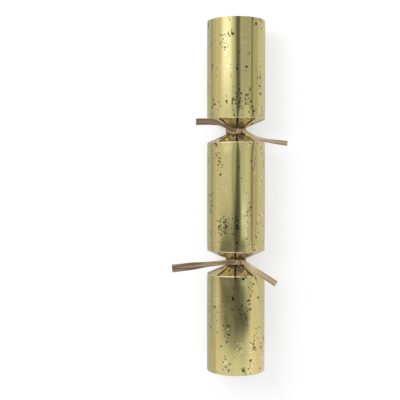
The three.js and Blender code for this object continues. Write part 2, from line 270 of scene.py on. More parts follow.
def sheet_normals(grid, present):
    """The normal of a sheet at each point of its grid, from the cells round it that are there."""
    right = np.roll(grid, -1, axis=1)
    cells = np.cross(right[1:] - grid[:-1], grid[1:] - right[:-1])
    lengths = np.linalg.norm(cells, axis=-1, keepdims=True)
    cells = cells / np.maximum(lengths, TINY_AREA) * present[..., None]
    padded = np.zeros((grid.shape[0] + 1, *grid.shape[1:]))
    padded[1:-1] = cells
    sums = padded[1:] + padded[:-1]
    sums = sums + np.roll(sums, 1, axis=1)
    lengths = np.linalg.norm(sums, axis=-1, keepdims=True)
    return sums / np.maximum(lengths, TINY_AREA)


def flat_places(across, along):
    """Where each point of a grid lies on the flat sheet, from its columns' and rows' places."""
    return np.stack(np.meshgrid(across, along), axis=-1)


def sheet_object(
    name, grid, thickness, places, finishes, present=None, closed=False, on_table=False,
    face_finish=None, fold=None, sharp=SHARP,
):
    """A closed shell round a grid of points, rows by columns. The finishes are those of its face,
    its back, its edges and the edges of its slits. A face finish picks another of them for each
    cell of the face, and fold is a value from 0 to 1 at each point that the materials can read."""
    rows, columns = grid.shape[:2]
    present = np.ones((rows - 1, columns), bool) if present is None else present.copy()
    if not closed:
        present[:, -1] = False
        places = np.concatenate([places, places[:, :1]], axis=1)
    half = sheet_normals(grid, present) * np.asarray(thickness)[..., None] / 2
    outer, inner = grid + half, grid - half
    if on_table:
        outer[..., 2] = np.maximum(outer[..., 2], 0)
        inner[..., 2] = np.maximum(inner[..., 2], thickness)
    vertices = np.stack([outer, inner], axis=2).reshape(-1, 3)

    front = 2 * np.arange(rows * columns).reshape(rows, columns)
    right = np.roll(front, -1, axis=1)
    corners = np.stack([front[:-1], right[:-1], right[1:], front[1:]], axis=-1)
    spots = np.stack([places[:-1, :-1], places[:-1, 1:], places[1:, 1:], places[1:, :-1]], axis=2)
    faces, uvs = [corners[present]], [spots[present]]
    faces.append(faces[0][:, ::-1] + 1)
    uvs.append(uvs[0][:, ::-1])
    beside = [np.zeros_like(present) for _ in range(4)]
    beside[0][1:] = present[:-1]
    beside[1] = np.roll(present, -1, axis=1)
    beside[2][:-1] = present[1:]
    beside[3] = np.roll(present, 1, axis=1)
    for side in range(4):
        cut = present & ~beside[side]
        a, b = corners[..., side][cut], corners[..., (side + 1) % 4][cut]
        at_a, at_b = spots[..., side, :][cut], spots[..., (side + 1) % 4, :][cut]
        faces.append(np.stack([b, a, a + 1, b + 1], axis=1))
        uvs.append(np.stack([at_b, at_a, at_a, at_b], axis=1))
    counts = [len(part) for part in faces]
    last = len(finishes) - 1
    finish = np.repeat([0, 1, 2, last, 2, last], counts)
    if face_finish is not None:
        finish[: counts[0]] = face_finish[present]

    mesh = bpy.data.meshes.new(name)
    mesh.from_pydata(vertices.tolist(), [], np.concatenate(faces).tolist())
    mesh.uv_layers.new(name="sheet").data.foreach_set("uv", np.concatenate(uvs).ravel())
    mesh.polygons.foreach_set("material_index", finish.astype(np.int32))
    if fold is not None:
        values = np.repeat(fold.ravel(), 2).astype(np.float32)
        mesh.attributes.new("fold", "FLOAT", "POINT").data.foreach_set("value", values)
    return finished_object(name, mesh, finishes, sharp)


def finished_object(name, mesh, finishes, sharp):
    """An object of the mesh, with its materials and smooth shading between its sharp edges."""
    for material in finishes:
        mesh.materials.append(material)
    mesh.shade_smooth()
    mesh.set_sharp_from_angle(angle=math.radians(sharp))
    made = bpy.data.objects.new(name, mesh)
    bpy.context.scene.collection.objects.link(made)
    return made


def placed(piece, body, node):
    """The piece rides on a body and stands for a node of the frame, which it hides."""
    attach(piece, body)
    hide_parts(node)
    return piece


def ring(radius, angle, y):
    """Points round the cracker's axis."""
    x = radius * np.sin(angle)
    z = AXIS_HEIGHT + radius * np.cos(angle)
    return np.stack([x, np.broadcast_to(y, x.shape), z], axis=-1)


def half_turned(grid):
    """The same piece at end B: turned half a turn about the vertical."""
    return grid * np.array([-1, -1, 1])


# The foil card. A place across a strip goes from -1 at one edge to 1 at the other.

CUT_EDGE, SLIT_SHADOW = 2, 3
CELLS_PER_STRIP = 16
CELL_REACH = 0.875
SLIT_RIM = 0.955
SLIT_CURL = 0.25 * MM
CURL_RISE = 4
SLIT_ROWS_SHORT = 2
CLOSED_SLIT = 5
CLOSED_SLIT_SHARE = 0.2
SEAM_STRIP = 6
SEAM_PLACE = -0.12
SEAM_STEP = 0.004
SEAM_RAMP = math.radians(34)
SEAM_LIFT = 0.4 * MM
SEAM_FLAT = 1 * MM
SEAM_RISE = 9 * MM
SEAM_EDGE = 0.05 * MM
CREASE_FADE = 12 * MM
CREASE_STEPS = [0.9 * MM, 1.4 * MM, 2.1 * MM, 3.1 * MM, 4.5 * MM, 6.2 * MM, 8.2 * MM]
CREASE_REACH = 0.45 * MM
CREASE_FLAT = 0.22
LAND_HALF = 2.6 * MM
LAND_LEVEL = 0.6
LAND_REACH = 0.4 * MM
LAND_STEPS = 3
TEAR_GAP = 0.3 * MM
TEAR_FRINGE = 0.5 * MM
FRINGE_JAG = 0.7
JAG_RADIUS = 8 * MM
JAG_SIZE = (0.8 * MM, 0.8 * MM, 0.8 * MM)
JAG_DEPTH = 0.45 * MM
TEETH = 23
TOOTH_DEPTH = 0.12 * MM
BARREL_ROW = 2.6 * MM
TWIST = math.radians(-4)
TWIST_FROM = 40 * MM
WAVE_SIZE = (17 * MM, 30 * MM, 17 * MM)
WAVE_HEIGHT = 0.07 * MM
CRUMPLE_SIZE = (3.4 * MM, 3.4 * MM, 3.4 * MM)
CRUMPLE_HEIGHT = 0.09 * MM
BULGE_FLATTENED = 0.4
SLIT_FOLDED = 0.42 * MM
VALLEY_SOFTNESS = 0.006
VALLEY_DRIFT = 0.6

# The least and the most of each measure in which the strips differ
VALLEY_PLACES = (-0.24, 0.24)
VALLEY_RISES = (0, 1.1 * MM)
EDGE_SINKS = (0, 0.5 * MM)
STRIP_LEANS = (-0.02, 0.02)
STRIP_BULGES = (-0.1 * MM, 0.7 * MM)
STRIP_DENTS = (0.4 * MM, 2.4 * MM)
STRIP_SPREADS = (0.03, 0.13)

# The rows of a strip, as shares of the way from the waist to the crease, and how near a fold the
# rows at the waist, along the strip and round the crease are
STRIP_SHARES = [0.07, 0.14, 0.22, 0.31, 0.4, 0.5, 0.6, 0.7, 0.8, 0.88, 0.94]
WAIST_FOLDS = [0.5, 0.4, 0.35, 0.35, 0.5, 0.5, 0.35]
STRIP_FOLD = 0.35
CREASE_FOLDS = [0.5, 0.9, 1.0, 0.9, 0.5]

LOW_CHOKE_SEED, HIGH_CHOKE_SEED, CENTRE_SEED = 11, 12, 3
END_SEEDS = {"a": 13, "b": 14}
JAG_SEED = 5

# Where each sheet starts on the pattern of dots
PATTERN_STARTS = {"foil_centre": (0.0, 0.0), "foil_end_a": (0.06, 0.0), "foil_end_b": (0.04, 1.5)}


class CardColumns:
    """The columns of the rolled card: the strip that each is in, its place across that strip, and
    its angle round the cracker."""

    def __init__(self, sizes):
        strips, across = [], []
        cells = np.linspace(-CELL_REACH, CELL_REACH, CELLS_PER_STRIP - 1)
        for strip in range(sizes.strips):
            places = [-1, -SLIT_RIM, *cells, SLIT_RIM, 1]
            if strip == SEAM_STRIP:
                places = sorted([*places, SEAM_PLACE - SEAM_STEP, SEAM_PLACE + SEAM_STEP])
            strips += [strip] * len(places)
            across += places
        self.radius = sizes.barrel_radius - sizes.thickness / 2
        self.strip = np.array(strips)
        self.across = np.array(across)
        self.half_turn = math.pi / sizes.strips
        self.middle = (2 * self.strip + 1) * self.half_turn
        beside = (self.strip == CLOSED_SLIT - 1) & (self.across > 0)
        beside |= (self.strip == CLOSED_SLIT) & (self.across < 0)
        self.openness = np.where(beside, CLOSED_SLIT_SHARE, 1.0)
        self.half_span = self.half_turn - self.openness * sizes.slit_width / 2 / self.radius
        self.angle = self.middle + self.across * self.half_span
        self.in_slit = np.roll(self.strip, -1) != self.strip
        at_rim = np.abs(self.across) >= SLIT_RIM
        self.on_rim = at_rim & np.roll(at_rim, -1) & ~self.in_slit

    def squeezed(self, share):
        """The angles when each strip is narrowed by a share of its width."""
        return self.middle + self.across * (1 - share * self.openness) * self.half_span


class StripFolds:
    """How each strip of one choke is folded at the waist. No two are quite alike."""

    def __init__(self, sizes, seed):
        chance = random.Random(seed)

        def pick(limits):
            return np.array([chance.uniform(*limits) for _ in range(sizes.strips)])

        self.valley_place = pick(VALLEY_PLACES)
        self.valley_radius = sizes.valley_radius + pick(VALLEY_RISES)
        self.edge_radius = sizes.waist_radius - pick(EDGE_SINKS)
        self.lean = pick(STRIP_LEANS)
        self.bulge = pick(STRIP_BULGES)
        self.dent = pick(STRIP_DENTS)
        self.spread = pick(STRIP_SPREADS)
        self.slit = SLIT_FOLDED / sizes.waist_radius


def seam_lift(columns, y, crease):
    """How far the outer layer of the lap stands over the barrel: it ends in a step at the seam."""
    seam = (2 * SEAM_STRIP + 1) * columns.half_turn + SEAM_PLACE * columns.half_span
    ramp = np.clip(1 - (seam - columns.angle) / SEAM_RAMP, 0, 1)
    ramp = np.where(columns.angle < seam, smooth_step(ramp), 0)
    return SEAM_LIFT * ramp * smooth_step((abs(y - crease) - SEAM_FLAT) / SEAM_RISE)


def crease_radius(columns, angle):
    """The radius at a crease, between a circle and a polygon with a side for each strip."""
    corner = columns.radius * columns.half_turn / math.sin(columns.half_turn)
    polygon = corner * math.cos(columns.half_turn) / np.cos(angle - columns.middle)
    return columns.radius + CREASE_FLAT * (polygon - columns.radius)


def barrel_row(columns, y, creases, seed):
    """A row of the barrel, a polygon at a crease that soon turns round."""
    near = min(abs(y - crease) for crease in creases)
    share = smooth_step(near / CREASE_FADE)
    flat = crease_radius(columns, columns.angle)
    radius = flat + share * (columns.radius - flat)
    crease = min(creases, key=lambda place: abs(y - place))
    radius = radius + seam_lift(columns, y, crease)
    waves = soft_noise(ring(radius, columns.angle, y), WAVE_SIZE, seed)
    return ring(radius + WAVE_HEIGHT * share * waves, columns.angle, y)


def waist_row(columns, folds, y):
    """A row at the waist, where each strip is folded in a V with its valley towards the axis."""
    valley_at = folds.valley_place[columns.strip]
    side = np.where(columns.across > valley_at, 1.0, -1.0)
    reach = np.abs(columns.across - valley_at) / (1 - side * valley_at)
    reach = np.sqrt(reach**2 + VALLEY_SOFTNESS) / math.sqrt(1 + VALLEY_SOFTNESS)
    edge_turn = columns.half_turn - folds.slit * columns.openness
    lean = folds.lean[columns.strip]
    valley_turn = columns.middle + lean + valley_at * edge_turn * VALLEY_DRIFT
    valley = ring(folds.valley_radius[columns.strip], valley_turn, y)
    edge = ring(folds.edge_radius[columns.strip], columns.middle + lean + side * edge_turn, y)
    return valley + (edge - valley) * reach[:, None]


def crease_row(columns, y, squeeze=0.0):
    """A row along a crease, or the same row with each strip narrowed."""
    angle = columns.squeezed(squeeze)
    return ring(crease_radius(columns, angle), angle, y)


def rounded(before, corner, after, reach, steps=4):
    """Rows that take a corner in the rows in a small curve."""

    def toward(row):
        leg = row - corner
        length = np.linalg.norm(leg, axis=-1, keepdims=True)
        return corner + leg * np.minimum(1, reach / np.maximum(length, TINY))

    start, end = toward(before), toward(after)
    shares = [step / steps for step in range(steps + 1)]
    return [(1 - t) ** 2 * start + 2 * t * (1 - t) * corner + t * t * end for t in shares]


def choke_rows(columns, folds, waist, crease, seed):
    """The rows from a waist out to a crease. Each comes with how near it is to a fold."""
    out = math.copysign(1, crease - waist)
    jag = soft_noise(ring(JAG_RADIUS, columns.angle, waist), JAG_SIZE, seed + JAG_SEED)
    jag = JAG_DEPTH * np.abs(jag) + TOOTH_DEPTH * np.abs(np.sin(TEETH * columns.angle + seed))
    tear = waist_row(columns, folds, waist)
    tear[:, 1] = waist + out * (TEAR_GAP / 2 + jag)
    fringe = waist_row(columns, folds, waist)
    fringe[:, 1] = waist + out * (TEAR_GAP / 2 + TEAR_FRINGE + FRINGE_JAG * jag[::-1])
    level = waist_row(columns, folds, waist + out * LAND_LEVEL * LAND_HALF)
    land = waist_row(columns, folds, waist + out * LAND_HALF)

    def strip_row(share):
        swell = math.sin(math.pi * share)
        high = crease_row(columns, crease, folds.spread[columns.strip] * swell)
        row = land + (high - land) * share
        radial = ring(1.0, columns.angle, 0) - ring(0.0, columns.angle, 0)
        bow = folds.bulge[columns.strip] * swell * (1 - BULGE_FLATTENED * columns.across**2)
        aside = np.abs(columns.across - folds.valley_place[columns.strip])
        dent = folds.dent[columns.strip] * swell * np.clip(1 - aside, 0, 1)
        curl = SLIT_CURL * min(1, CURL_RISE * swell) * (np.abs(columns.across) == 1)
        crumple = CRUMPLE_HEIGHT * swell * soft_noise(row, CRUMPLE_SIZE, seed)
        return row + radial * (bow - dent - curl + crumple)[:, None]

    strips = [strip_row(share) for share in STRIP_SHARES]
    rows = [tear, fringe, level, *rounded(level, land, strips[0], LAND_REACH, LAND_STEPS), *strips]
    corner = crease_row(columns, crease)
    beyond = barrel_row(columns, crease + out * MM, [crease], seed)
    rows += rounded(strips[-1], corner, beyond, CREASE_REACH)
    return rows, [*WAIST_FOLDS, *[STRIP_FOLD] * len(strips), *CREASE_FOLDS]


def barrel_rows(columns, first, last, creases, seed):
    """The rows of a barrel, close together near a crease."""
    places = set()
    for crease in creases:
        out = 1 if crease < (first + last) / 2 else -1
        places.update(crease + out * step for step in [*CREASE_STEPS, CREASE_FADE])
    low, high = min(first, last), max(first, last)
    from_y = low + CREASE_FADE if low in creases else low
    to_y = high - CREASE_FADE if high in creases else high
    count = max(2, round((to_y - from_y) / BARREL_ROW))
    places.update(np.linspace(from_y, to_y, count + 1))
    return [barrel_row(columns, y, creases, seed) for y in sorted(places)]


def twisted(grid):
    """The whole roll is a little twisted: its end towards -Y is turned from its middle on."""
    turn = TWIST * smooth_step((TWIST_FROM - grid[..., 1]) / (2 * TWIST_FROM))
    x, z = grid[..., 0], grid[..., 2] - AXIS_HEIGHT
    made = grid.copy()
    made[..., 0] = x * np.cos(turn) + z * np.sin(turn)
    made[..., 2] = AXIS_HEIGHT + z * np.cos(turn) - x * np.sin(turn)
    return made


def foil_sheet(name, rows, cut, fold, columns, sizes, finishes, start, turned=False):
    """The foil card from its rows. The slits are open between the rows that are marked as cut,
    and the first row lies at the start along the flat sheet."""
    grid = twisted(np.array(rows))
    steps = np.linalg.norm(np.diff(grid, axis=0), axis=-1).mean(axis=1)
    along = start + np.concatenate([[0], np.cumsum(steps)])
    across = columns.radius * np.append(columns.angle, columns.angle[0] + TURN)
    places = flat_places(across, along) * (-1 if turned else 1) + PATTERN_STARTS[name]
    cut = np.array(cut)
    slit_rows = (cut[1:] & cut[:-1])[:, None]
    present = ~(columns.in_slit[None, :] & slit_rows)
    face_finish = np.zeros(present.shape, int)
    # The rims of the slits on the face take the painted slit shadow as well.
    face_finish[slit_rows & columns.on_rim[None, :]] = SLIT_SHADOW
    for end in (0, -1):
        if cut[end]:
            face_finish[end] = CUT_EDGE
    radial = np.hypot(grid[..., 0], grid[..., 2] - AXIS_HEIGHT)
    seam = (columns.strip == SEAM_STRIP) & (columns.across == SEAM_PLACE - SEAM_STEP)
    step_up = radial[:-1] - np.roll(radial, -1, axis=1)[:-1] > SEAM_EDGE
    face_finish[seam[None, :] & step_up] = CUT_EDGE
    fold = np.broadcast_to(np.array(fold)[:, None], grid.shape[:2])
    return sheet_object(
        name, grid, sizes.thickness, places, finishes,
        present=present, closed=True, on_table=True, face_finish=face_finish, fold=fold,
    )


class CRACKER_OT_foil_card(bpy.types.Operator):
    """Builds the foil card: the centre barrel and the two ends that tear away from it"""

    bl_idname = "cracker.foil_card"
    bl_label = "Foil card"

    def execute(self, context):
        sizes = context.scene.cracker_card
        look = context.scene.cracker_foil
        finishes = [foil_material(look), *card_materials(look)]
        columns = CardColumns(sizes)
        crease = sizes.centre_length / 2
        waist = crease + sizes.choke_length / 2
        far_crease = crease + sizes.choke_length

        low_folds = StripFolds(sizes, LOW_CHOKE_SEED)
        low, low_fold = choke_rows(columns, low_folds, -waist, -crease, LOW_CHOKE_SEED)
        high_folds = StripFolds(sizes, HIGH_CHOKE_SEED)
        high, high_fold = choke_rows(columns, high_folds, waist, crease, HIGH_CHOKE_SEED)
        barrel = barrel_rows(columns, -crease, crease, [-crease, crease], CENTRE_SEED)
        rows = [*low, *barrel, *high[::-1]]
        cut_low, cut_high = len(low) - SLIT_ROWS_SHORT, len(high) - SLIT_ROWS_SHORT
        whole = len(rows) - cut_low - cut_high
        cut = [True] * cut_low + [False] * whole + [True] * cut_high
        fold = [*low_fold, *[0.0] * len(barrel), *high_fold[::-1]]
        centre = foil_sheet("foil_centre", rows, cut, fold, columns, sizes, finishes, -waist)
        placed(centre, "centre", "wrap_centre")

        for letter, seed in END_SEEDS.items():
            turned = letter == "b"
            choke, choke_fold = choke_rows(
                columns, StripFolds(sizes, seed), waist, far_crease, seed
            )
            barrel = barrel_rows(columns, far_crease, MOUTH, [far_crease], seed)
            rows = [*choke, *barrel]
            if turned:
                rows = [half_turned(row) for row in rows]
            cut_rows = len(choke) - SLIT_ROWS_SHORT
            cut = [True] * cut_rows + [False] * (len(rows) - cut_rows)
            fold = [*choke_fold, *[0.0] * len(barrel)]
            made = foil_sheet(
                f"foil_end_{letter}", rows, cut, fold, columns, sizes, finishes, waist, turned
            )
            placed(made, f"end_{letter}", f"wrap_end_{letter}")
        return {"FINISHED"}


# The paper ribbons

# Each ribbon, in millimetres from the middle of its waist: its knot, and for each tail the crest
# where it passes over the barrel, its tip, its width at the root and at the end, how far along its
# stretches it opens out, and how much paler it is painted at the knot and at the tip, towards
# the painted ridge highlight
TIES = {
    "a": {
        "knot": (1.8, -0.6),
        "left": {
            "crest": (-18, 6.4),
            "tip": (-35, 7.4, 15.5),
            "widths": (2.7, 5.6),
            "opens": 3.75,
            "pale": (0.05, 0.0),
        },
        "right": {
            "crest": (18, -7.3),
            "tip": (43.4, -11.2, 14.5),
            "widths": (2.7, 4.2),
            "opens": 4.4,
            "pale": (0.45, 0.75),
        },
    },
    "b": {
        "knot": (1.3, 0.4),
        "left": {
            "crest": (-18, 0.4),
            "tip": (-55.4, -3.4, 23.5),
            "widths": (3.8, 6.8),
            "opens": 4.2,
            "pale": (0.0, 0.45),
        },
        "right": {
            "crest": (15, -4.8),
            "tip": (33.7, -17.3, 18.5),
            "widths": (3.2, 5.0),
            "opens": 3.8,
            "pale": (0.6, 1.0),
        },
    },
}
TIE_SEEDS = {"a": 21, "b": 31}
LOOP_SEED = 7
RIBBON_CELLS = 12
RIBBON_SHARP = 28
RIBBON_PLACES = np.linspace(-1, 1, RIBBON_CELLS + 1)
FULL_RIBBON = 6.4 * MM
RIBBON_CROWN = 0.22 * MM
RIBBON_WANDER = 0.12 * MM
WANDER_SIZE = (5 * MM, 5 * MM, 5 * MM)
PLEATS = (9, 17)
PLEAT_SHIFTS = (1, 3)
PLEAT_FLAT = 0.1 * MM
PLEAT_GATHERED = 0.34 * MM
CREST_CLEARANCE = 26.47 * MM
KNOT_HEIGHT = 10.3 * MM
TUCK = math.radians(50)
TUCK_CLEARANCE = 0.25 * MM
OVER_LIFT = 0.9 * MM
UNDER_LIFT = -0.35 * MM
ENTRY_LIFT = 0.3
ENTRY = np.array([3.4, 0.6, 0]) * MM
ENTRY_DROP = 0.3 * MM
EXIT = (3.6, 0.5, 0.2)
PATH_STEPS = 9
KNOT_WIDTHS = (3.4, 3.0, 2.7)
CREST_WIDTH = 1.1
OPENED_WIDTH = 0.94
OPENING = 0.35
LOOP_CELLS = 72
LOOP_SQUEEZE = 0.22
LOOP_SQUEEZE_FROM = 0.5
LOOP_PLEATS = 8
LOOP_PLEAT = 0.09 * MM
LOOP_RIPPLE = 0.08 * MM
LOOP_RIPPLE_SIZE = (4 * MM, 4 * MM, 4 * MM)
LOOP_GATHER = 0.85
TURN_CELLS = 36
TURN_SLANT = math.radians(24)
TURN_PLEATS = 9
TURN_PLEAT = 0.07
TURN_HALF_LENGTH = 2.2 * MM
TURN_HALF_HEIGHT = 1.3 * MM
TURN_HALF_WIDTH = 1.5
TURN_FLARE = 0.25
TURN_RADIUS = 1.8 * MM
TURN_GATHER = 0.9


def ribbon_strand(path, widths, seed):
    """The middle of a paper strand along a path: gathered in pleats where it is narrow."""
    forward = np.gradient(path, axis=0)
    forward /= np.linalg.norm(forward, axis=1, keepdims=True)
    side = np.stack([-forward[:, 1], forward[:, 0], np.zeros(len(path))], axis=1)
    side /= np.maximum(np.linalg.norm(side, axis=1, keepdims=True), TINY)
    up = np.cross(forward, side)
    across = RIBBON_PLACES[::-1]
    chance = random.Random(seed)
    shifts = [shift * chance.uniform(-1, 1) for shift in PLEAT_SHIFTS]
    grid = np.zeros((len(path), len(across), 3))
    gather = np.clip(1 - widths / FULL_RIBBON, 0, 1)
    for column, place in enumerate(across):
        pleat = sum(math.sin(count * place + shift) / 2 for count, shift in zip(PLEATS, shifts))
        lift = (PLEAT_FLAT + PLEAT_GATHERED * gather) * pleat - RIBBON_CROWN * place**2
        centre = path + side * (place * widths / 2)[:, None]
        wander = soft_noise(centre, WANDER_SIZE, seed)
        grid[:, column] = centre + up * (lift + RIBBON_WANDER * wander)[:, None]
    lengths = np.linalg.norm(np.diff(path, axis=0), axis=1)
    along = np.concatenate([[0], np.cumsum(lengths)])
    gathered = np.broadcast_to(gather[:, None], grid.shape[:2])
    return grid, flat_places(across * FULL_RIBBON / 2, along), gathered


def tie_parts(tie, waist, sizes, finish, seed):
    """The strips of paper that make one tie."""
    finishes = [finish] * 3
    knot = np.array([tie["knot"][0] * MM, waist + tie["knot"][1] * MM, AXIS_HEIGHT + KNOT_HEIGHT])
    parts = [ribbon_loop(waist, sizes, finishes, seed)]
    for name, over, sign in (("left", 1, -1), ("right", 0, 1)):
        tail = tie[name]
        crest_x, crest_y = tail["crest"][0] * MM, waist + tail["crest"][1] * MM
        crest_z = AXIS_HEIGHT + math.sqrt(CREST_CLEARANCE**2 - crest_x**2)
        tip = np.array(tail["tip"]) * MM + [0, waist, AXIS_HEIGHT]
        lift = OVER_LIFT if over else UNDER_LIFT
        tucked = ring(sizes.loop_radius + TUCK_CLEARANCE, np.array([-sign * TUCK]), waist)[0]
        leave = np.array([sign * EXIT[0], sign * EXIT[1] * (-1 if over else 1), EXIT[2]]) * MM
        points = [
            tucked,
            knot - sign * ENTRY + [0, 0, ENTRY_LIFT * lift - ENTRY_DROP],
            knot + [0, 0, lift],
            knot + leave,
            np.array([crest_x, crest_y, crest_z]),
            tip,
        ]
        path = smooth_path(points, PATH_STEPS)
        root, end = tail["widths"]
        opens = tail["opens"]
        places = [0, 1, 2, 3, opens, opens + OPENING, 5]
        stops = np.array([*KNOT_WIDTHS, root, root * CREST_WIDTH, end * OPENED_WIDTH, end]) * MM
        widths = np.interp(np.linspace(0, places[-1], len(path)), places, stops)
        grid, flat, gather = ribbon_strand(path, widths, seed + over)
        # The gathering and the paleness go to the fold attribute, from which the ribbon material
        # paints its highlight and shade.
        pale = np.linspace(*tail["pale"], len(path))
        parts.append(sheet_object(
            "strand", grid, sizes.thickness, flat, finishes,
            fold=gather + pale[:, None], sharp=RIBBON_SHARP,
        ))
    parts.append(knot_turn(knot, sizes, finishes, seed))
    return parts


def ribbon_ring(name, grid, around, gather, sizes, finishes):
    """A closed ring of ribbon from its grid, as long round as the last of its places says."""
    places = flat_places(RIBBON_PLACES * FULL_RIBBON / 2, around).transpose(1, 0, 2)
    gathered = np.full(grid.shape[:2], gather)
    return sheet_object(
        name, grid, sizes.thickness, places, finishes,
        closed=True, fold=gathered, sharp=RIBBON_SHARP,
    )


def ribbon_loop(waist, sizes, finishes, seed):
    """The loop round the waist, a little gathered."""
    angle = np.linspace(0, TURN, LOOP_CELLS, endpoint=False)
    grid = np.zeros((len(RIBBON_PLACES), len(angle), 3))
    squeeze = smooth_step((np.cos(angle) - LOOP_SQUEEZE_FROM) / (1 - LOOP_SQUEEZE_FROM))
    gather = 1 - LOOP_SQUEEZE * squeeze
    for row, place in enumerate(RIBBON_PLACES):
        beside = place * sizes.width / 2
        spots = ring(sizes.loop_radius, angle, waist + beside)
        wander = soft_noise(spots, LOOP_RIPPLE_SIZE, seed + LOOP_SEED)
        pleat = math.sin(LOOP_PLEATS * place + seed) * LOOP_PLEAT
        radius = sizes.loop_radius + pleat + LOOP_RIPPLE * wander
        grid[row] = ring(radius, angle, waist + beside * gather + RIBBON_WANDER * wander)
    around = sizes.loop_radius * np.append(angle, TURN)
    return ribbon_ring("loop", grid, around, LOOP_GATHER, sizes, finishes)


def knot_turn(knot, sizes, finishes, seed):
    """The turn of paper over the middle of the knot."""
    angle = np.linspace(0, TURN, TURN_CELLS, endpoint=False)
    grid = np.zeros((len(RIBBON_PLACES), len(angle), 3))
    for row, place in enumerate(RIBBON_PLACES):
        pleat = 1 + TURN_PLEAT * math.sin(TURN_PLEATS * place + seed)
        x = place * (TURN_HALF_WIDTH + TURN_FLARE * np.cos(angle)) * MM
        y = TURN_HALF_LENGTH * pleat * np.sin(angle)
        grid[row, :, 0] = knot[0] + x * math.cos(TURN_SLANT) + y * math.sin(TURN_SLANT)
        grid[row, :, 1] = knot[1] - x * math.sin(TURN_SLANT) + y * math.cos(TURN_SLANT)
        grid[row, :, 2] = knot[2] + TURN_HALF_HEIGHT * pleat * np.cos(angle)
    around = TURN_RADIUS * np.append(angle, TURN)
    return ribbon_ring("turn", grid, around, TURN_GATHER, sizes, finishes)


def joined_pieces(name, parts):
    """One object of several."""
    for part in bpy.context.selected_objects:
        part.select_set(False)
    for part in parts:
        part.select_set(True)
    bpy.context.view_layer.objects.active = parts[0]
    bpy.ops.object.join()
    made = bpy.context.view_layer.objects.active
    made.name = made.data.name = name
    return made


class CRACKER_OT_ribbons(bpy.types.Operator):
    """Ties a creased paper ribbon round each waist: a loop, a knot and two tails"""

    bl_idname = "cracker.ribbons"
    bl_label = "Paper ribbons"

    def execute(self, context):
        sizes = context.scene.cracker_ribbon
        card = context.scene.cracker_card
        finish = ribbon_material(sizes)
        waist = (card.centre_length + card.choke_length) / 2
        for letter, place in (("a", waist), ("b", -waist)):
            parts = tie_parts(TIES[letter], place, sizes, finish, TIE_SEEDS[letter])
            made = joined_pieces(f"ribbon_{letter}", parts)
            placed(made, "centre", f"tie_{letter}")
        return {"FINISHED"}


# Rolled and cut sheets. A roll starts where its start says, as an angle from the top.

LINING_LAYER = 0.28 * MM
LINING_WALL = 0.6 * MM
LINING_TURNS = 1 + math.radians(26) / TURN
LINING_CLIMB = 0.8
LINING_ROWS = 24
LINING_STARTS = {"centre": 2.4, "end_a": 3.6, "end_b": 0.9}
ROLL_CELLS = 48
FEWEST_CELLS = 24
ROLL_MARGIN = 0.02 * MM
ROLL_WANDER_SIZE = (6 * MM, 14 * MM, 6 * MM)
ROLL_WANDER_RADIUS = 5 * MM
ROLL_WANDER_SHIFT = 0.1


def node_box(node):
    """The lowest and highest corners of a node of the frame, and its middle."""
    low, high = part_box(node)
    return low, high, (low + high) / 2


def rolled_sheet(
    name, centre, ends, inner, outer, finish, *, turns, thickness, start, rows,
    edge=None, climb_from=0.0, wander=0.0, seed=0, end_shape=None,
):
    """A sheet rolled round an axis along Y, from an inner radius out to an outer one. It climbs
    from one layer to the next only past the share of its length that climb_from gives."""
    count = max(FEWEST_CELLS, round(turns * ROLL_CELLS))
    share = np.linspace(0, 1, count + 1)
    angle = start + share * turns * TURN
    middle_in, middle_out = inner + thickness / 2, outer - thickness / 2
    climb = np.clip((share - climb_from) / (1 - climb_from), 0, 1)
    radius = middle_in + (middle_out - middle_in) * (smooth_step(climb) if climb_from else climb)
    across, up = np.sin(angle), np.cos(angle)
    steps = np.hypot(np.diff(radius * across), np.diff(radius * up))
    length = np.concatenate([[0], np.cumsum(steps)])
    low, high = ends
    cut_back = end_shape(length) if end_shape else 0
    grid = np.zeros((rows + 1, count + 1, 3))
    for row in range(rows + 1):
        y = np.broadcast_to(low + (high - cut_back - low) * (row / rows), angle.shape)
        reach = radius
        if wander:
            spots = np.stack([ROLL_WANDER_RADIUS * across, y, share * ROLL_WANDER_SHIFT], axis=-1)
            reach = radius + wander * soft_noise(spots, ROLL_WANDER_SIZE, seed)
        reach = np.minimum(reach, middle_out)
        grid[row] = np.stack([centre[0] + reach * across, y, centre[1] + reach * up], axis=-1)
    places = flat_places(length, np.linspace(low, high, rows + 1))
    return sheet_object(name, grid, thickness, places, [finish, finish, edge or finish])


class CRACKER_OT_linings(bpy.types.Operator):
    """Rolls the card linings that keep the three barrels round"""

    bl_idname = "cracker.linings"
    bl_label = "Card linings"

    def execute(self, context):
        look = context.scene.cracker_papers
        card = paper_material(
            "Lining card", look.lining, shade=0.74, fibre=520.0, mottle=60.0, relief=0.05 * MM
        )
        edge = paper_material("Lining card edge", look.lining, shade=0.6, fibre=2200.0)
        for part, start in LINING_STARTS.items():
            node = f"liner_{part}"
            low, high, _ = node_box(node)
            made = rolled_sheet(
                f"lining_{part}", (0, AXIS_HEIGHT), (low.y, high.y), LINING_OUTER - LINING_WALL,
                LINING_OUTER - ROLL_MARGIN, card, turns=LINING_TURNS, thickness=LINING_LAYER,
                start=start, rows=LINING_ROWS, edge=edge, climb_from=LINING_CLIMB,
            )
            placed(made, part, node)
        return {"FINISHED"}


# The snap

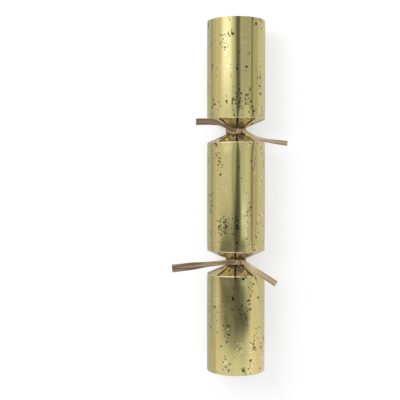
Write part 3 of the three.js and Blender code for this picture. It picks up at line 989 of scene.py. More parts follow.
STRIP_THICKNESS = 0.4 * MM
STRIP_CORNER = 1.3 * MM
CORNER_STEPS = 7
STRIP_ROWS = 62
STRIP_CELLS = 8
BEND_FROM = 70 * MM
BEND_TO = 98 * MM
PATCH_CELLS = (16, 48)
PATCH_SPREAD = (3, 10)
PATCH_RAGGED = 0.06
PATCH_RAGGED_SIZE = (0.9, 0.9, 0.9)
BUMP_SPREAD = 2.2
BUMP_SIZE = (0.5, 0.5, 0.5)
PATCH_FULLNESS = 0.86
PATCH_RIM_SLOPE = 9
PATCH_RIM = 0.35
SLEEVE_LAYER = 0.13 * MM
SLEEVE_CORNER = 0.55 * MM
SLEEVE_ROWS = 12
SLEEVE_SINK = 1.6
SLEEVE_START = [-1.5 * MM, -2.6 * MM]
SLEEVE_END = [2.4 * MM, 0, -1.8 * MM, -2.6 * MM]
SLEEVE_LAPS = [0, 1, 1.15, 1.15]
GLUE_CELLS = 20
GLUE_RAGGED = 0.05
GLUE_RAGGED_SIZE = (2.2 * MM, 2.2 * MM, 2.2 * MM)
GLUE_RIM_SLOPE = 4
GLUE_RIM = 0.25
GLUE_SPREAD = (5 * MM, 14 * MM)
GLUE_SEED = 44


class CRACKER_OT_snap_strips(bpy.types.Operator):
    """Cuts the two card strips of the snap, each from its barrel's wall to past the middle"""

    bl_idname = "cracker.snap_strips"
    bl_label = "Snap strips"

    def execute(self, context):
        look = context.scene.cracker_papers
        card = paper_material("Snap card", look.snap, shade=0.8, fibre=1100.0)
        low, high, _ = node_box("snap_strip_a")
        inner_x, wall_x = low.x + STRIP_THICKNESS / 2, high.x - STRIP_THICKNESS / 2
        turns = np.linspace(0, math.pi / 2, CORNER_STEPS)
        ends = [low.y + STRIP_CORNER * (1 - math.cos(turn)) for turn in turns]
        tips = [high.y - (y - low.y) for y in reversed(ends)]
        along = np.array([*ends, *np.linspace(ends[-1], tips[0], STRIP_ROWS)[1:-1], *tips])
        x = inner_x + (wall_x - inner_x) * smooth_step((along - BEND_FROM) / (BEND_TO - BEND_FROM))
        from_end = np.minimum(along - low.y, high.y - along)
        inset = np.clip(STRIP_CORNER - from_end, 0, STRIP_CORNER)
        half = (high.z - low.z) / 2 - STRIP_CORNER + np.sqrt(STRIP_CORNER**2 - inset**2)
        across = np.linspace(-1, 1, STRIP_CELLS + 1)
        grid = np.zeros((len(along), len(across), 3))
        grid[..., 0] = x[:, None]
        grid[..., 1] = along[:, None]
        grid[..., 2] = AXIS_HEIGHT + half[:, None] * across
        places = flat_places(across * (high.z - low.z) / 2, along)
        for letter, shape in (("a", grid), ("b", half_turned(grid))):
            made = sheet_object(f"snap_card_{letter}", shape, STRIP_THICKNESS, places, [card] * 3)
            placed(made, f"end_{letter}", f"snap_strip_{letter}")
        return {"FINISHED"}


def coated_patch(name, node, finish, seed, rough):
    """A brushed-on patch of coating with a ragged outline and a bumpy face."""
    low, high, middle = node_box(node)
    across, along = (np.linspace(-1, 1, cells + 1) for cells in PATCH_CELLS)
    wide, tall = np.meshgrid(across, along)
    spots = np.stack([wide * PATCH_SPREAD[0], tall * PATCH_SPREAD[1], np.zeros_like(wide)], axis=-1)
    ragged = 1 - PATCH_RAGGED * (1 + soft_noise(spots, PATCH_RAGGED_SIZE, seed))
    grid = np.zeros((*wide.shape, 3))
    grid[..., 0] = middle.x
    grid[..., 1] = middle.y + tall * ragged * (high.y - low.y) / 2
    grid[..., 2] = middle.z + wide * ragged * (high.z - low.z) / 2
    depth = high.x - low.x
    bumps = soft_noise(spots * BUMP_SPREAD, BUMP_SIZE, seed + 1)
    from_rim = 1 - np.maximum(np.abs(wide), np.abs(tall))
    edge = np.minimum(1, from_rim * PATCH_RIM_SLOPE + PATCH_RIM)
    thickness = np.minimum(depth * edge * (PATCH_FULLNESS + rough * bumps), depth)
    places = flat_places(across * (high.z - low.z) / 2, along * (high.y - low.y) / 2)
    return sheet_object(name, grid, thickness, places, [finish] * 3)


class CRACKER_OT_snap_patches(bpy.types.Operator):
    """Coats the ends of the snap: the friction charge and the abrasive that strikes it"""

    bl_idname = "cracker.snap_patches"
    bl_label = "Snap coatings"

    def execute(self, context):
        look = context.scene.cracker_papers
        charge = gritty_material("Friction charge", look.charge, grain=2600.0, roughness=0.65)
        abrasive = gritty_material("Abrasive", look.abrasive, grain=1500.0, roughness=0.95)
        made = coated_patch("charge_patch", "snap_charge", charge, seed=41, rough=0.10)
        placed(made, "end_a", "snap_charge")
        made = coated_patch("abrasive_patch", "snap_abrasive", abrasive, seed=42, rough=0.16)
        placed(made, "end_b", "snap_abrasive")
        return {"FINISHED"}


class CRACKER_OT_snap_sleeve(bpy.types.Operator):
    """Wraps the paper sleeve round the overlap of the snap strips"""

    bl_idname = "cracker.snap_sleeve"
    bl_label = "Snap sleeve"

    def execute(self, context):
        look = context.scene.cracker_papers
        paper = paper_material("Sleeve paper", look.sleeve, shade=0.72, fibre=900.0)
        low, high, _ = node_box("snap_sleeve")
        sink = SLEEVE_LAYER * SLEEVE_SINK
        half_x, half_z = high.x - sink, (high.z - low.z) / 2 - sink
        outline = []
        for sign_x, sign_z, start in ((1, -1, 270), (-1, -1, 180), (-1, 1, 90), (1, 1, 0)):
            for turn in np.radians(np.linspace(start + 90, start, CORNER_STEPS)):
                x = sign_x * (half_x - SLEEVE_CORNER) + SLEEVE_CORNER * math.cos(turn)
                z = sign_z * (half_z - SLEEVE_CORNER) + SLEEVE_CORNER * math.sin(turn)
                outline.append((x, z))
        lap = [(half_x + SLEEVE_LAYER * lift, z) for lift, z in zip(SLEEVE_LAPS, SLEEVE_END)]
        points = np.array([*((half_x, z) for z in SLEEVE_START), *outline, *lap])
        along = np.linspace(low.y, high.y, SLEEVE_ROWS + 1)
        grid = np.zeros((len(along), len(points), 3))
        grid[..., 0] = points[:, 0]
        grid[..., 1] = along[:, None]
        grid[..., 2] = AXIS_HEIGHT + points[:, 1]
        steps = np.linalg.norm(np.diff(points, axis=0), axis=1)
        places = flat_places(np.concatenate([[0], np.cumsum(steps)]), along)
        made = sheet_object("snap_wrapper", grid, SLEEVE_LAYER, places, [paper] * 3)
        placed(made, "centre", "snap_sleeve")
        return {"FINISHED"}


class CRACKER_OT_glue(bpy.types.Operator):
    """Squeezes the dabs of glue between the snap strips and the linings"""

    bl_idname = "cracker.glue"
    bl_label = "Glue dabs"

    def execute(self, context):
        glue = glue_material(context.scene.cracker_papers.glue)
        low, high, middle = node_box("snap_glue_a")
        steps = np.linspace(-1, 1, GLUE_CELLS + 1)
        wide, tall = np.meshgrid(steps, steps)
        long_side = tall * np.sqrt(1 - wide**2 / 2) * (high.y - low.y) / 2
        short_side = wide * np.sqrt(1 - tall**2 / 2) * (high.z - low.z) / 2
        centre = np.full_like(wide, middle.x)
        spots = np.stack([centre, middle.y + long_side, middle.z + short_side], axis=-1)
        ragged = 1 - GLUE_RAGGED * (1 + soft_noise(spots, GLUE_RAGGED_SIZE, GLUE_SEED))
        y, z = middle.y + long_side * ragged, middle.z + short_side * ragged
        grid = np.stack([centre, y, z], axis=-1)
        from_rim = 1 - np.maximum(np.abs(wide), np.abs(tall))
        rim = np.sqrt(np.clip(from_rim * GLUE_RIM_SLOPE, 0, 1))
        depth = (high.x - low.x) * (GLUE_RIM + (1 - GLUE_RIM) * rim)
        places = flat_places(steps * GLUE_SPREAD[0], steps * GLUE_SPREAD[1])
        for letter, shape in (("a", grid), ("b", half_turned(grid))):
            made = sheet_object(f"glue_dab_{letter}", shape, depth, places, [glue] * 3)
            placed(made, f"end_{letter}", f"snap_glue_{letter}")
        return {"FINISHED"}


# What the centre barrel holds

CROWN_POINT = 7 * MM
CROWN_PITCH = 19 * MM
BAND_SINK = 0.38 * MM
HAT_CORE = 2.6 * MM
MOTTO_CORE = 1.2 * MM

# The top in millimetres, as pairs of a radius and a place along its axis
TOP_BORE = 1.8
TOP_OUTLINE = [
    (TOP_BORE, -3.5), (4.5, -3.5), (9, -0.7), (9, 1.75), (7.2, 3.5), (3.9, 3.5), (3.75, 3.25),
    (3.4, 3.25), (3.25, 3.5), (TOP_BORE, 3.5), (TOP_BORE, -3.5),
]
TOP_ROUNDING = 0.5
FACE_RING = (4.4, 5.8)
FACE_RING_ABOVE = 2
RIM_RING_FROM = 8.9
RIM_RING_ABOVE = -0.9
PEG_OUTLINE = [
    (0, -14), (0.35, -13.85), (1.5, -11), (1.5, 9.8), (1.25, 10.1), (1.25, 10.7), (1.5, 11),
    (1.5, 13.2), (0.9, 13.95), (0, 14),
]
PEG_ROUNDING = 0.3
PROFILE_STEP = 0.55
LEG_SHARE = 0.45
SAME_SPOT = 1e-7
TURNED_SHARP = 30


def crown_points(length):
    """How far the end of the hat is cut back along its length, in pointed waves."""
    wave = np.abs((length / CROWN_PITCH) % 1 - 0.5) * 2
    return CROWN_POINT * wave


class CRACKER_OT_paper_hat(bpy.types.Operator):
    """Rolls up the tissue paper hat, with its crown points at one end"""

    bl_idname = "cracker.paper_hat"
    bl_label = "Paper hat"

    def execute(self, context):
        tissue = tissue_material(context.scene.cracker_papers.tissue)
        low, high, middle = node_box("paper_hat")
        made = rolled_sheet(
            "tissue_hat", (middle.x, middle.z), (low.y, high.y), HAT_CORE, (high.z - low.z) / 2,
            tissue, turns=7.5, thickness=0.3 * MM, start=1.0, rows=26, wander=0.16 * MM, seed=51,
            end_shape=crown_points,
        )
        placed(made, "hat", "paper_hat")
        return {"FINISHED"}


class CRACKER_OT_hat_band(bpy.types.Operator):
    """Wraps the paper band round the rolled hat"""

    bl_idname = "cracker.hat_band"
    bl_label = "Hat band"

    def execute(self, context):
        look = context.scene.cracker_papers
        paper = paper_material("Band paper", look.band, shade=0.88, fibre=1400.0)
        low, high, middle = node_box("hat_band")
        radius = (high.z - low.z) / 2
        made = rolled_sheet(
            "band_round_hat", (middle.x, middle.z), (low.y, high.y), radius - BAND_SINK,
            radius - ROLL_MARGIN, paper, turns=1.14, thickness=0.15 * MM, start=4.0, rows=8,
            climb_from=0.78,
        )
        placed(made, "hat", "hat_band")
        return {"FINISHED"}


class CRACKER_OT_motto(bpy.types.Operator):
    """Rolls up the plain slip for the motto"""

    bl_idname = "cracker.motto"
    bl_label = "Motto slip"

    def execute(self, context):
        look = context.scene.cracker_papers
        paper = paper_material("Motto paper", look.motto, shade=0.9, fibre=1600.0)
        low, high, middle = node_box("motto_slip")
        made = rolled_sheet(
            "rolled_motto", (middle.x, middle.z), (low.y, high.y), MOTTO_CORE,
            (high.z - low.z) / 2, paper, turns=5.3, thickness=0.13 * MM, start=2.0, rows=16,
            wander=0.05 * MM, seed=61,
        )
        placed(made, "motto", "motto_slip")
        return {"FINISHED"}


def turned_object(name, profile, centre, finishes, steps, finish_at=None):
    """A solid turned round an axis along Y from a profile of radius and place, in millimetres."""
    shape = bmesh.new()
    points = [shape.verts.new((centre.x + r * MM, centre.y + y * MM, centre.z)) for r, y in profile]
    edges = [shape.edges.new(pair) for pair in zip(points, points[1:])]
    bmesh.ops.spin(shape, geom=points + edges, cent=centre, axis=(0, 1, 0), angle=TURN, steps=steps)
    bmesh.ops.remove_doubles(shape, verts=shape.verts, dist=SAME_SPOT)
    bmesh.ops.recalc_face_normals(shape, faces=shape.faces)
    if finish_at:
        for face in shape.faces:
            middle = face.calc_center_median() - centre
            face.material_index = finish_at(math.hypot(middle.x, middle.z) / MM, middle.y / MM)
    mesh = bpy.data.meshes.new(name)
    shape.to_mesh(mesh)
    shape.free()
    return finished_object(name, mesh, finishes, TURNED_SHARP)


def rounded_profile(points, radius, steps=4):
    """A profile with its inner corners taken off in small curves."""
    made = [points[0]]
    for before, corner, after in zip(points, points[1:], points[2:]):
        corner = Vector(corner)
        legs = [Vector(other) - corner for other in (before, after)]
        reaches = [min(radius, leg.length * LEG_SHARE) for leg in legs]
        start, end = (corner + leg.normalized() * reach for leg, reach in zip(legs, reaches))
        for step in range(steps + 1):
            t = step / steps
            made.append(tuple((1 - t) ** 2 * start + 2 * t * (1 - t) * corner + t * t * end))
    return [*made, points[-1]]


def ring_rows(profile):
    """A profile with its long legs cut up, so that a painted ring can end part way along one."""
    made = [profile[0]]
    for a, b in zip(profile, profile[1:]):
        a, b = Vector(a), Vector(b)
        pieces = max(1, math.ceil((b - a).length / PROFILE_STEP))
        made += [tuple(a.lerp(b, piece / pieces)) for piece in range(1, pieces + 1)]
    return made


def top_finish(radius, place):
    """Bare wood, or one of the two painted rings."""
    if place > FACE_RING_ABOVE and FACE_RING[0] < radius < FACE_RING[1]:
        return 1
    return 2 if place > RIM_RING_ABOVE and radius > RIM_RING_FROM else 0


class CRACKER_OT_wooden_top(bpy.types.Operator):
    """Turns the wooden top: a disc with painted rings, on a peg"""

    bl_idname = "cracker.wooden_top"
    bl_label = "Wooden top"

    def execute(self, context):
        look = context.scene.cracker_top
        finishes = [
            wood_material("Turned wood", look.wood, DISC_GRAIN),
            lacquer_material("Red lacquer", look.first_ring, look.wood),
            lacquer_material("Green lacquer", look.second_ring, look.wood),
        ]
        disc = turned_object(
            "top_disc", ring_rows(rounded_profile(TOP_OUTLINE, TOP_ROUNDING)),
            node_box("gift_top_disc")[2], finishes, steps=64, finish_at=top_finish,
        )
        placed(disc, "gift", "gift_top_disc")

        peg = turned_object(
            "top_peg", rounded_profile(PEG_OUTLINE, PEG_ROUNDING), node_box("gift_top_peg")[2],
            [wood_material("Peg wood", look.wood, PEG_GRAIN)], steps=40,
        )
        placed(peg, "gift", "gift_top_peg")
        return {"FINISHED"}


# Materials. Scales of noise are in repeats per metre, and a stretch is a share along each axis.

WOOD_VALUES = {"Grain Scale": 900.0, "Fleck Scale": 4200.0}
DISC_GRAIN = (1.0, 0.16, 1.0)
PEG_GRAIN = (1.0, 0.1, 1.0)
WOOD_GRAINS = (0.35, 0.65)
FLECK_STRETCH = (0.6, 0.6, 0.6)
WOOD_FLECKS = (0.58, 0.66)
WOOD_ROUGHNESS = (0.38, 0.52)
WOOD_SHADES = {"grain": 0.66, "fleck": 0.42}
FLECK_SHARE = 0.5
LACQUER_GRAINS = (0.3, 0.7)
LACQUER_ROUGHNESS = (0.2, 0.34)
LACQUER_SHADE = 0.75
LACQUER_WEAR = 0.8
LACQUER_MARKS = {"Size": 220.0}

LENGTHWISE_FIBRE = (1.0, 0.22, 1.0)
CROSSWISE_FIBRE = (0.3, 1.0, 0.3)
FIBRE_VALUES = {"Fibre Scale": 900.0, "Mottle Scale": 120.0, "Contrast": 0.5}
FIBRE_DEPTHS = (0.12, 0.4)
MOTTLE_SHARE = 0.35
PAPER_CONTRAST = 0.8
PAPER_ROUGHNESS = (0.9, 0.78)

MARK_VALUES = {"Size": 30.0}
SCUFF_STRETCH = (1.0, 0.12, 1.0)
SCUFF_FINENESS = 14.0
SCUFF_LINES = (0.62, 0.72)
SCUFF_PLACES = (0.5, 0.7)
SMUDGE_PLACES = (0.35, 0.7)

STREAK_STRETCH = (1.0, 0.05, 1.0)
BROAD_STRETCH = (1.0, 0.07, 1.0)
STREAK_SHARE = 0.35
STREAK_TONES = (0.42, 0.56)
RIDGE_GATHERS = (0.1, 1.1)
CREASE_GATHERS = (0.5, 1.9)
RIDGE_HIGHLIGHT = 1.12
BROAD_RELIEF = 1.4
RIBBON_FIBRES = 1300.0
RIBBON_FIBRE_SHARE = 0.12
RIBBON_ROUGHNESS = (0.72, 0.5)

GRIT_VALUES = {"Grain Scale": 2600.0, "Cloud Scale": 320.0}
GRIT_TONES = (0.05, 0.4)
GRIT_SHADES = (1.5, 0.6)
GRIT_DEPTHS = (0.0, 0.6)
GRIT_POLISH = 0.2
GLUE_TONES = (0.35, 0.65)
GLUE_GLOSSES = (0.3, 0.7)
GLUE_ROUGHNESS = (0.25, 0.5)
GLUE_SHADE = 0.72
CRINKLE_STRETCH = (1.0, 0.5, 1.0)
TISSUE_TONES = (0.3, 0.7)
TISSUE_SHADE = 0.6

# Each size of dot: the width of its cell, its least and largest radius as shares of the cell, and
# how strong a spray has to be for a dot to be there
DOT_SIZES = [
    (2.0 * MM, 0.19, 0.34, 0.645),
    (3.6 * MM, 0.16, 0.28, 0.650),
    (9.0 * MM, 0.11, 0.15, 0.640),
]
DOT_SCATTER = 0.92
SPRAY_SCALE = 140.0
SPRAY_STRETCH = (1.0, 0.28, 1.0)
SPRAY_CHANCE = 0.14
PALE_SCALE = 34.0
PALE_CHANCE = 0.3
PALE_FROM = 0.60
PALE_TO = 0.63
DOT_EDGE = 0.05 * MM
DOT_SLOPE = 0.012
PEBBLE_HEIGHT = 0.004 * MM
CREASED_FOLDS = (0.05, 0.7)
CRACK_FOLDS = (0.55, 1.0)
CRACK_GRAINS = (0.45, 0.65)
CRACK_HIGHLIGHT_SHARE = 0.45
CRACK_DULLING = 0.4
CRACK_ROUGHNESS = 0.5
SATIN_SHIFTS = (-0.015, 0.035)


def set_inputs(tree, node, inputs):
    """Gives each input of a node a plain value or the output of another node."""
    for name, value in inputs.items():
        socket = node.inputs[name]
        if isinstance(value, bpy.types.NodeSocket):
            tree.links.new(value, socket)
        elif socket.type == "RGBA":
            socket.default_value = (*value, 1.0)
        else:
            socket.default_value = value


def add_node(tree, kind, inputs=None, **settings):
    """A new shader node. Each input is a plain value or the output of another node."""
    made = tree.nodes.new(kind)
    for name, value in settings.items():
        setattr(made, name, value)
    set_inputs(tree, made, inputs or {})
    return made


def calculated(tree, operation, *values, clamp=False):
    inputs = dict(enumerate(values))
    return add_node(tree, "ShaderNodeMath", inputs, operation=operation, use_clamp=clamp).outputs[0]


def product(tree, a, b):
    return calculated(tree, "MULTIPLY", a, b)


def total(tree, a, b):
    return calculated(tree, "ADD", a, b)


def vector_node(tree, operation, a, b=(0, 0, 0)):
    return add_node(tree, "ShaderNodeVectorMath", {0: a, 1: b}, operation=operation)


def stretched(tree, vector, stretch):
    """The vector with each part multiplied by its own scale."""
    return vector_node(tree, "MULTIPLY", vector, stretch).outputs[0]


def remapped(tree, value, from_low, from_high, to_low=0.0, to_high=1.0, kind="SMOOTHSTEP"):
    inputs = {"Value": value, "From Min": from_low, "From Max": from_high}
    inputs.update({"To Min": to_low, "To Max": to_high})
    return add_node(tree, "ShaderNodeMapRange", inputs, interpolation_type=kind).outputs[0]


def ranged(tree, value, low, high):
    """The value, from 0 to 1, spread evenly from low to high."""
    return remapped(tree, value, 0.0, 1.0, low, high, kind="LINEAR")


def mixed_colour(tree, share, a, b):
    return add_node(tree, "ShaderNodeMix", {0: share, 6: a, 7: b}, data_type="RGBA").outputs[2]


def mixed_value(tree, share, a, b):
    return add_node(tree, "ShaderNodeMix", {0: share, 2: a, 3: b}, data_type="FLOAT").outputs[0]


def noise_value(tree, vector, *, scale, detail, roughness):
    inputs = {"Vector": vector, "Scale": scale, "Detail": detail, "Roughness": roughness}
    return add_node(tree, "ShaderNodeTexNoise", inputs).outputs[0]


def bumped(tree, height, *, strength, distance):
    """The normal of a surface with this relief."""
    inputs = {"Height": height, "Strength": strength, "Distance": distance}
    return add_node(tree, "ShaderNodeBump", inputs).outputs[0]


def object_places(tree):
    return add_node(tree, "ShaderNodeTexCoord").outputs["Object"]


def sheet_places(tree):
    return add_node(tree, "ShaderNodeUVMap", uv_map="sheet").outputs["UV"]


def fold_value(tree):
    return add_node(tree, "ShaderNodeAttribute", attribute_name="fold").outputs["Fac"]


def shaded(rgb, share):
    return tuple(channel * share for channel in rgb)


def new_material(name):
    """A material with its shader, and its tree."""
    material = bpy.data.materials.new(name)
    material.use_nodes = True
    tree = material.node_tree
    return material, tree, tree.nodes["Principled BSDF"]


def new_group(name, inputs, build):
    """A node group with a vector and these inputs. Build adds its nodes and says its outputs."""
    group = bpy.data.node_groups.new(name, "ShaderNodeTree")
    group.interface.new_socket(name="Vector", in_out="INPUT", socket_type="NodeSocketVector")
    for label, default in inputs.items():
        socket = group.interface.new_socket(
            name=label, in_out="INPUT", socket_type="NodeSocketFloat"
        )
        socket.default_value = default
    outputs = build(group, group.nodes.new("NodeGroupInput").outputs)
    for label in outputs:
        group.interface.new_socket(name=label, in_out="OUTPUT", socket_type="NodeSocketFloat")
    set_inputs(group, group.nodes.new("NodeGroupOutput"), outputs)
    return group


def shared_effect(tree, name, inputs, build, vector, values):
    """Places the node group of an effect that several materials share, with its own values."""
    group = bpy.data.node_groups.get(name) or new_group(name, inputs, build)
    return add_node(tree, "ShaderNodeGroup", {"Vector": vector, **values}, node_tree=group).outputs


def fibre_effect(group, entry):
    vector, scale = entry["Vector"], entry["Fibre Scale"]
    lengthwise = stretched(group, vector, LENGTHWISE_FIBRE)
    crosswise = stretched(group, vector, CROSSWISE_FIBRE)
    long_fibres = noise_value(group, lengthwise, scale=scale, detail=4.0, roughness=0.62)
    short_fibres = noise_value(group, crosswise, scale=scale, detail=3.0, roughness=0.55)
    mottle = noise_value(group, vector, scale=entry["Mottle Scale"], detail=3.0, roughness=0.5)
    fibres = remapped(group, product(group, long_fibres, short_fibres), *FIBRE_DEPTHS)
    both = mixed_value(group, MOTTLE_SHARE, fibres, mottle)
    centred = calculated(group, "SUBTRACT", both, 0.5)
    scaled = product(group, centred, entry["Contrast"])
    tone = calculated(group, "ADD", scaled, 0.5, clamp=True)
    return {"Tone": tone, "Height": fibres}


def paper_fibres(tree, vector, values):
    """The pulp fibres and mottling of all paper and card."""
    return shared_effect(tree, "Paper fibre", FIBRE_VALUES, fibre_effect, vector, values)


def mark_effect(group, entry):
    vector, size = entry["Vector"], entry["Size"]
    smudge = noise_value(group, vector, scale=size, detail=2.0, roughness=0.5)
    fine_scale = product(group, size, SCUFF_FINENESS)
    lengthwise = stretched(group, vector, SCUFF_STRETCH)
    lines = noise_value(group, lengthwise, scale=fine_scale, detail=5.0, roughness=0.7)
    scuff = remapped(group, lines, *SCUFF_LINES)
    scuff = product(group, scuff, remapped(group, smudge, *SCUFF_PLACES))
    return {"Smudge": remapped(group, smudge, *SMUDGE_PLACES), "Scuff": scuff}


def handling_marks(tree, vector, values):
    """The faint scuffs and finger marks of the handled pieces."""
    return shared_effect(tree, "Handling marks", MARK_VALUES, mark_effect, vector, values)


def wood_effect(group, entry):
    vector = entry["Vector"]
    grain = noise_value(group, vector, scale=entry["Grain Scale"], detail=5.0, roughness=0.6)
    short = stretched(group, vector, FLECK_STRETCH)
    flecks = noise_value(group, short, scale=entry["Fleck Scale"], detail=2.0, roughness=0.5)
    return {"Grain": grain, "Fleck": remapped(group, flecks, *WOOD_FLECKS)}


def wood_grain(tree, vector, stretch):
    """The long grain and short flecks of turned beech."""
    long_places = stretched(tree, vector, stretch)
    return shared_effect(tree, "Wood grain", WOOD_VALUES, wood_effect, long_places, {})


def grit_effect(group, entry):
    vector = entry["Vector"]
    inputs = {"Vector": vector, "Scale": entry["Grain Scale"]}
    grit = add_node(group, "ShaderNodeTexVoronoi", inputs).outputs["Distance"]
    cloud = noise_value(group, vector, scale=entry["Cloud Scale"], detail=4.0, roughness=0.6)
    tone = remapped(group, product(group, grit, cloud), *GRIT_TONES)
    return {"Tone": tone, "Height": grit}


def coating_grit(tree, vector, values):
    """The grit in the coatings of the snap."""
    return shared_effect(tree, "Grit", GRIT_VALUES, grit_effect, vector, values)


def polished_dots(tree, vector, cell, small, large, keep):
    """Round dots, one at most in each cell, with their sizes as shares of the cell. Whether a
    dot is there depends on a spray pattern at its middle, so no dot is cut off. Each lies at
    a slight slope of its own. Gives where the dots are, which of them are pale, and their
    heights in metres."""
    inputs = {"Vector": vector, "Scale": 1 / cell, "Randomness": DOT_SCATTER}
    dots = add_node(tree, "ShaderNodeTexVoronoi", inputs, voronoi_dimensions="2D").outputs
    middle = dots["Position"]
    parts = add_node(tree, "ShaderNodeSeparateColor", {0: dots["Color"]}).outputs
    radius = ranged(tree, parts[0], small, large)
    inside = calculated(tree, "SUBTRACT", radius, dots["Distance"])
    edge = DOT_EDGE / cell
    long_middle = stretched(tree, middle, SPRAY_STRETCH)
    spray = noise_value(tree, long_middle, scale=SPRAY_SCALE, detail=2.0, roughness=0.6)
    odds = total(tree, spray, product(tree, parts[1], SPRAY_CHANCE))
    there = calculated(tree, "GREATER_THAN", odds, keep)
    mask = product(tree, remapped(tree, inside, -edge, edge), there)
    patch = noise_value(tree, middle, scale=PALE_SCALE, detail=1.0, roughness=0.5)
    chance = total(tree, patch, product(tree, parts[2], PALE_CHANCE))
    pale = product(tree, mask, remapped(tree, chance, PALE_FROM, PALE_TO))
    offset = vector_node(tree, "SUBTRACT", vector, middle).outputs[0]
    lean = vector_node(tree, "SUBTRACT", dots["Color"], (0.5, 0.5, 0.5)).outputs[0]
    slope = vector_node(tree, "DOT_PRODUCT", offset, lean).outputs["Value"]
    return mask, pale, product(tree, product(tree, slope, mask), DOT_SLOPE)


def foil_material(look):
    """Satin gold foil, hot-stamped with sprays of small polished dots."""
    material, tree, shader = new_material("Gold foil")
    places = sheet_places(tree)
    layers = [polished_dots(tree, places, *size) for size in DOT_SIZES]
    dots, pale, relief = layers[0]
    for mask, pale_mask, height in layers[1:]:
        dots = calculated(tree, "MAXIMUM", dots, mask)
        pale = calculated(tree, "MAXIMUM", pale, pale_mask)
        relief = total(tree, relief, height)

    smudge = handling_marks(tree, places, {})["Smudge"]
    fold = fold_value(tree)
    grain = noise_value(tree, places, scale=2600.0, detail=2.0, roughness=0.6)
    # Along the creases the foil is painted towards the pale card: partly real crazing, partly a
    # painted highlight along the fold.
    cracks_and_highlight = remapped(tree, fold, *CRACK_FOLDS)
    cracks_and_highlight = product(tree, cracks_and_highlight, remapped(tree, grain, *CRACK_GRAINS))
    creased = remapped(tree, fold, *CREASED_FOLDS)

    # Near the folds the foil is painted paler and less metallic: a painted fill light.
    tone = mixed_colour(tree, creased, look.foil_colour, look.fold_fill_light_colour)
    # Most dots are painted near black, a painted dark reflection; the pale ones keep a bright metal
    # colour.
    tone = mixed_colour(tree, dots, tone, look.dark_dot_reflection_colour)
    tone = mixed_colour(tree, pale, tone, look.pale_dot_colour)
    # This wear is partly real crazing, partly a painted highlight along the creases.
    worn = mixed_colour(tree, product(tree, cracks_and_highlight, CRACK_HIGHLIGHT_SHARE), tone, look.card_colour)
    metallic = mixed_value(tree, creased, look.satin_metallic, look.creased_metallic)
    satin = ranged(tree, smudge, *(look.satin_roughness + shift for shift in SATIN_SHIFTS))
    rough = mixed_value(tree, dots, satin, look.dot_roughness)
    dulled = product(tree, cracks_and_highlight, CRACK_DULLING)
    rough = mixed_value(tree, dulled, rough, CRACK_ROUGHNESS)
    pebble = noise_value(tree, places, scale=700.0, detail=2.0, roughness=0.55)
    kept = product(tree, pebble, calculated(tree, "SUBTRACT", 1.0, dots))
    height = total(tree, product(tree, kept, PEBBLE_HEIGHT), relief)
    set_inputs(tree, shader, {
        "Base Color": worn,
        "Metallic": mixed_value(tree, dots, metallic, 1.0),
        "Roughness": rough,
        "Coat Weight": 0.4,
        "Coat Roughness": 0.1,
        "Normal": bumped(tree, height, strength=1.0, distance=1.0),
    })
    return material


def paper_material(name, light, *, shade, fibre, mottle=120.0, relief=0.03 * MM):
    """Paper or card of a colour and a darker shade of it, with its fibres."""
    material, tree, shader = new_material(name)
    values = {"Fibre Scale": fibre, "Mottle Scale": mottle, "Contrast": PAPER_CONTRAST}
    fibres = paper_fibres(tree, object_places(tree), values)
    set_inputs(tree, shader, {
        "Base Color": mixed_colour(tree, fibres["Tone"], shaded(light, shade), light),
        "Roughness": ranged(tree, fibres["Tone"], *PAPER_ROUGHNESS),
        "Normal": bumped(tree, fibres["Height"], strength=0.5, distance=relief),
    })
    return material


def card_materials(look):
    """The bare card: its grey back, its pale cut edges, and the edges of its slits painted near
    black as their shadow.
    """
    return (
        paper_material("Card back", look.back_colour, shade=0.72, fibre=700.0),
        paper_material("Cut card", look.card_colour, shade=0.6, fibre=2400.0),
        paper_material("Slit edge shadow", look.slit_shadow_colour, shade=0.5, fibre=2400.0),
    )


def ribbon_material(sizes):
    """Natural brown paper ribbon with lengthwise creases, painted darker in the creases and lighter
    on the ridges as shade and highlight.
    """
    material, tree, shader = new_material("Brown paper ribbon")
    places = sheet_places(tree)
    light = sizes.ridge_highlight_colour
    long_places = stretched(tree, places, STREAK_STRETCH)
    streaks = noise_value(tree, long_places, scale=1500.0, detail=4.0, roughness=0.6)
    broad_places = stretched(tree, places, BROAD_STRETCH)
    broad = noise_value(tree, broad_places, scale=460.0, detail=2.0, roughness=0.5)
    tone = product(tree, streaks, STREAK_SHARE)
    tone = total(tree, tone, product(tree, broad, 1 - STREAK_SHARE))
    tone = remapped(tree, tone, *STREAK_TONES)
    gather = fold_value(tree)
    on_ridge = remapped(tree, gather, *RIDGE_GATHERS, kind="LINEAR")
    in_crease = remapped(tree, gather, *CREASE_GATHERS, kind="LINEAR")
    # The ridges are painted lighter and the creases darker, the more the ribbon is gathered:
    # painted highlight and shade.
    ridge = mixed_colour(tree, on_ridge, shaded(sizes.flat_colour, RIDGE_HIGHLIGHT), light)
    crease = mixed_colour(tree, in_crease, sizes.crease_shade_colour, light)
    fibres = paper_fibres(tree, places, {"Fibre Scale": RIBBON_FIBRES})
    # Low streaks take the painted crease shade and high streaks the painted ridge highlight.
    shade = mixed_colour(tree, tone, crease, ridge)
    pulp = product(tree, fibres["Tone"], RIBBON_FIBRE_SHARE)
    shade = mixed_colour(tree, pulp, shade, light)
    relief = total(tree, streaks, product(tree, broad, BROAD_RELIEF))
    set_inputs(tree, shader, {
        "Base Color": shade,
        "Roughness": ranged(tree, tone, *RIBBON_ROUGHNESS),
        "Normal": bumped(tree, relief, strength=0.7, distance=0.12 * MM),
    })
    return material


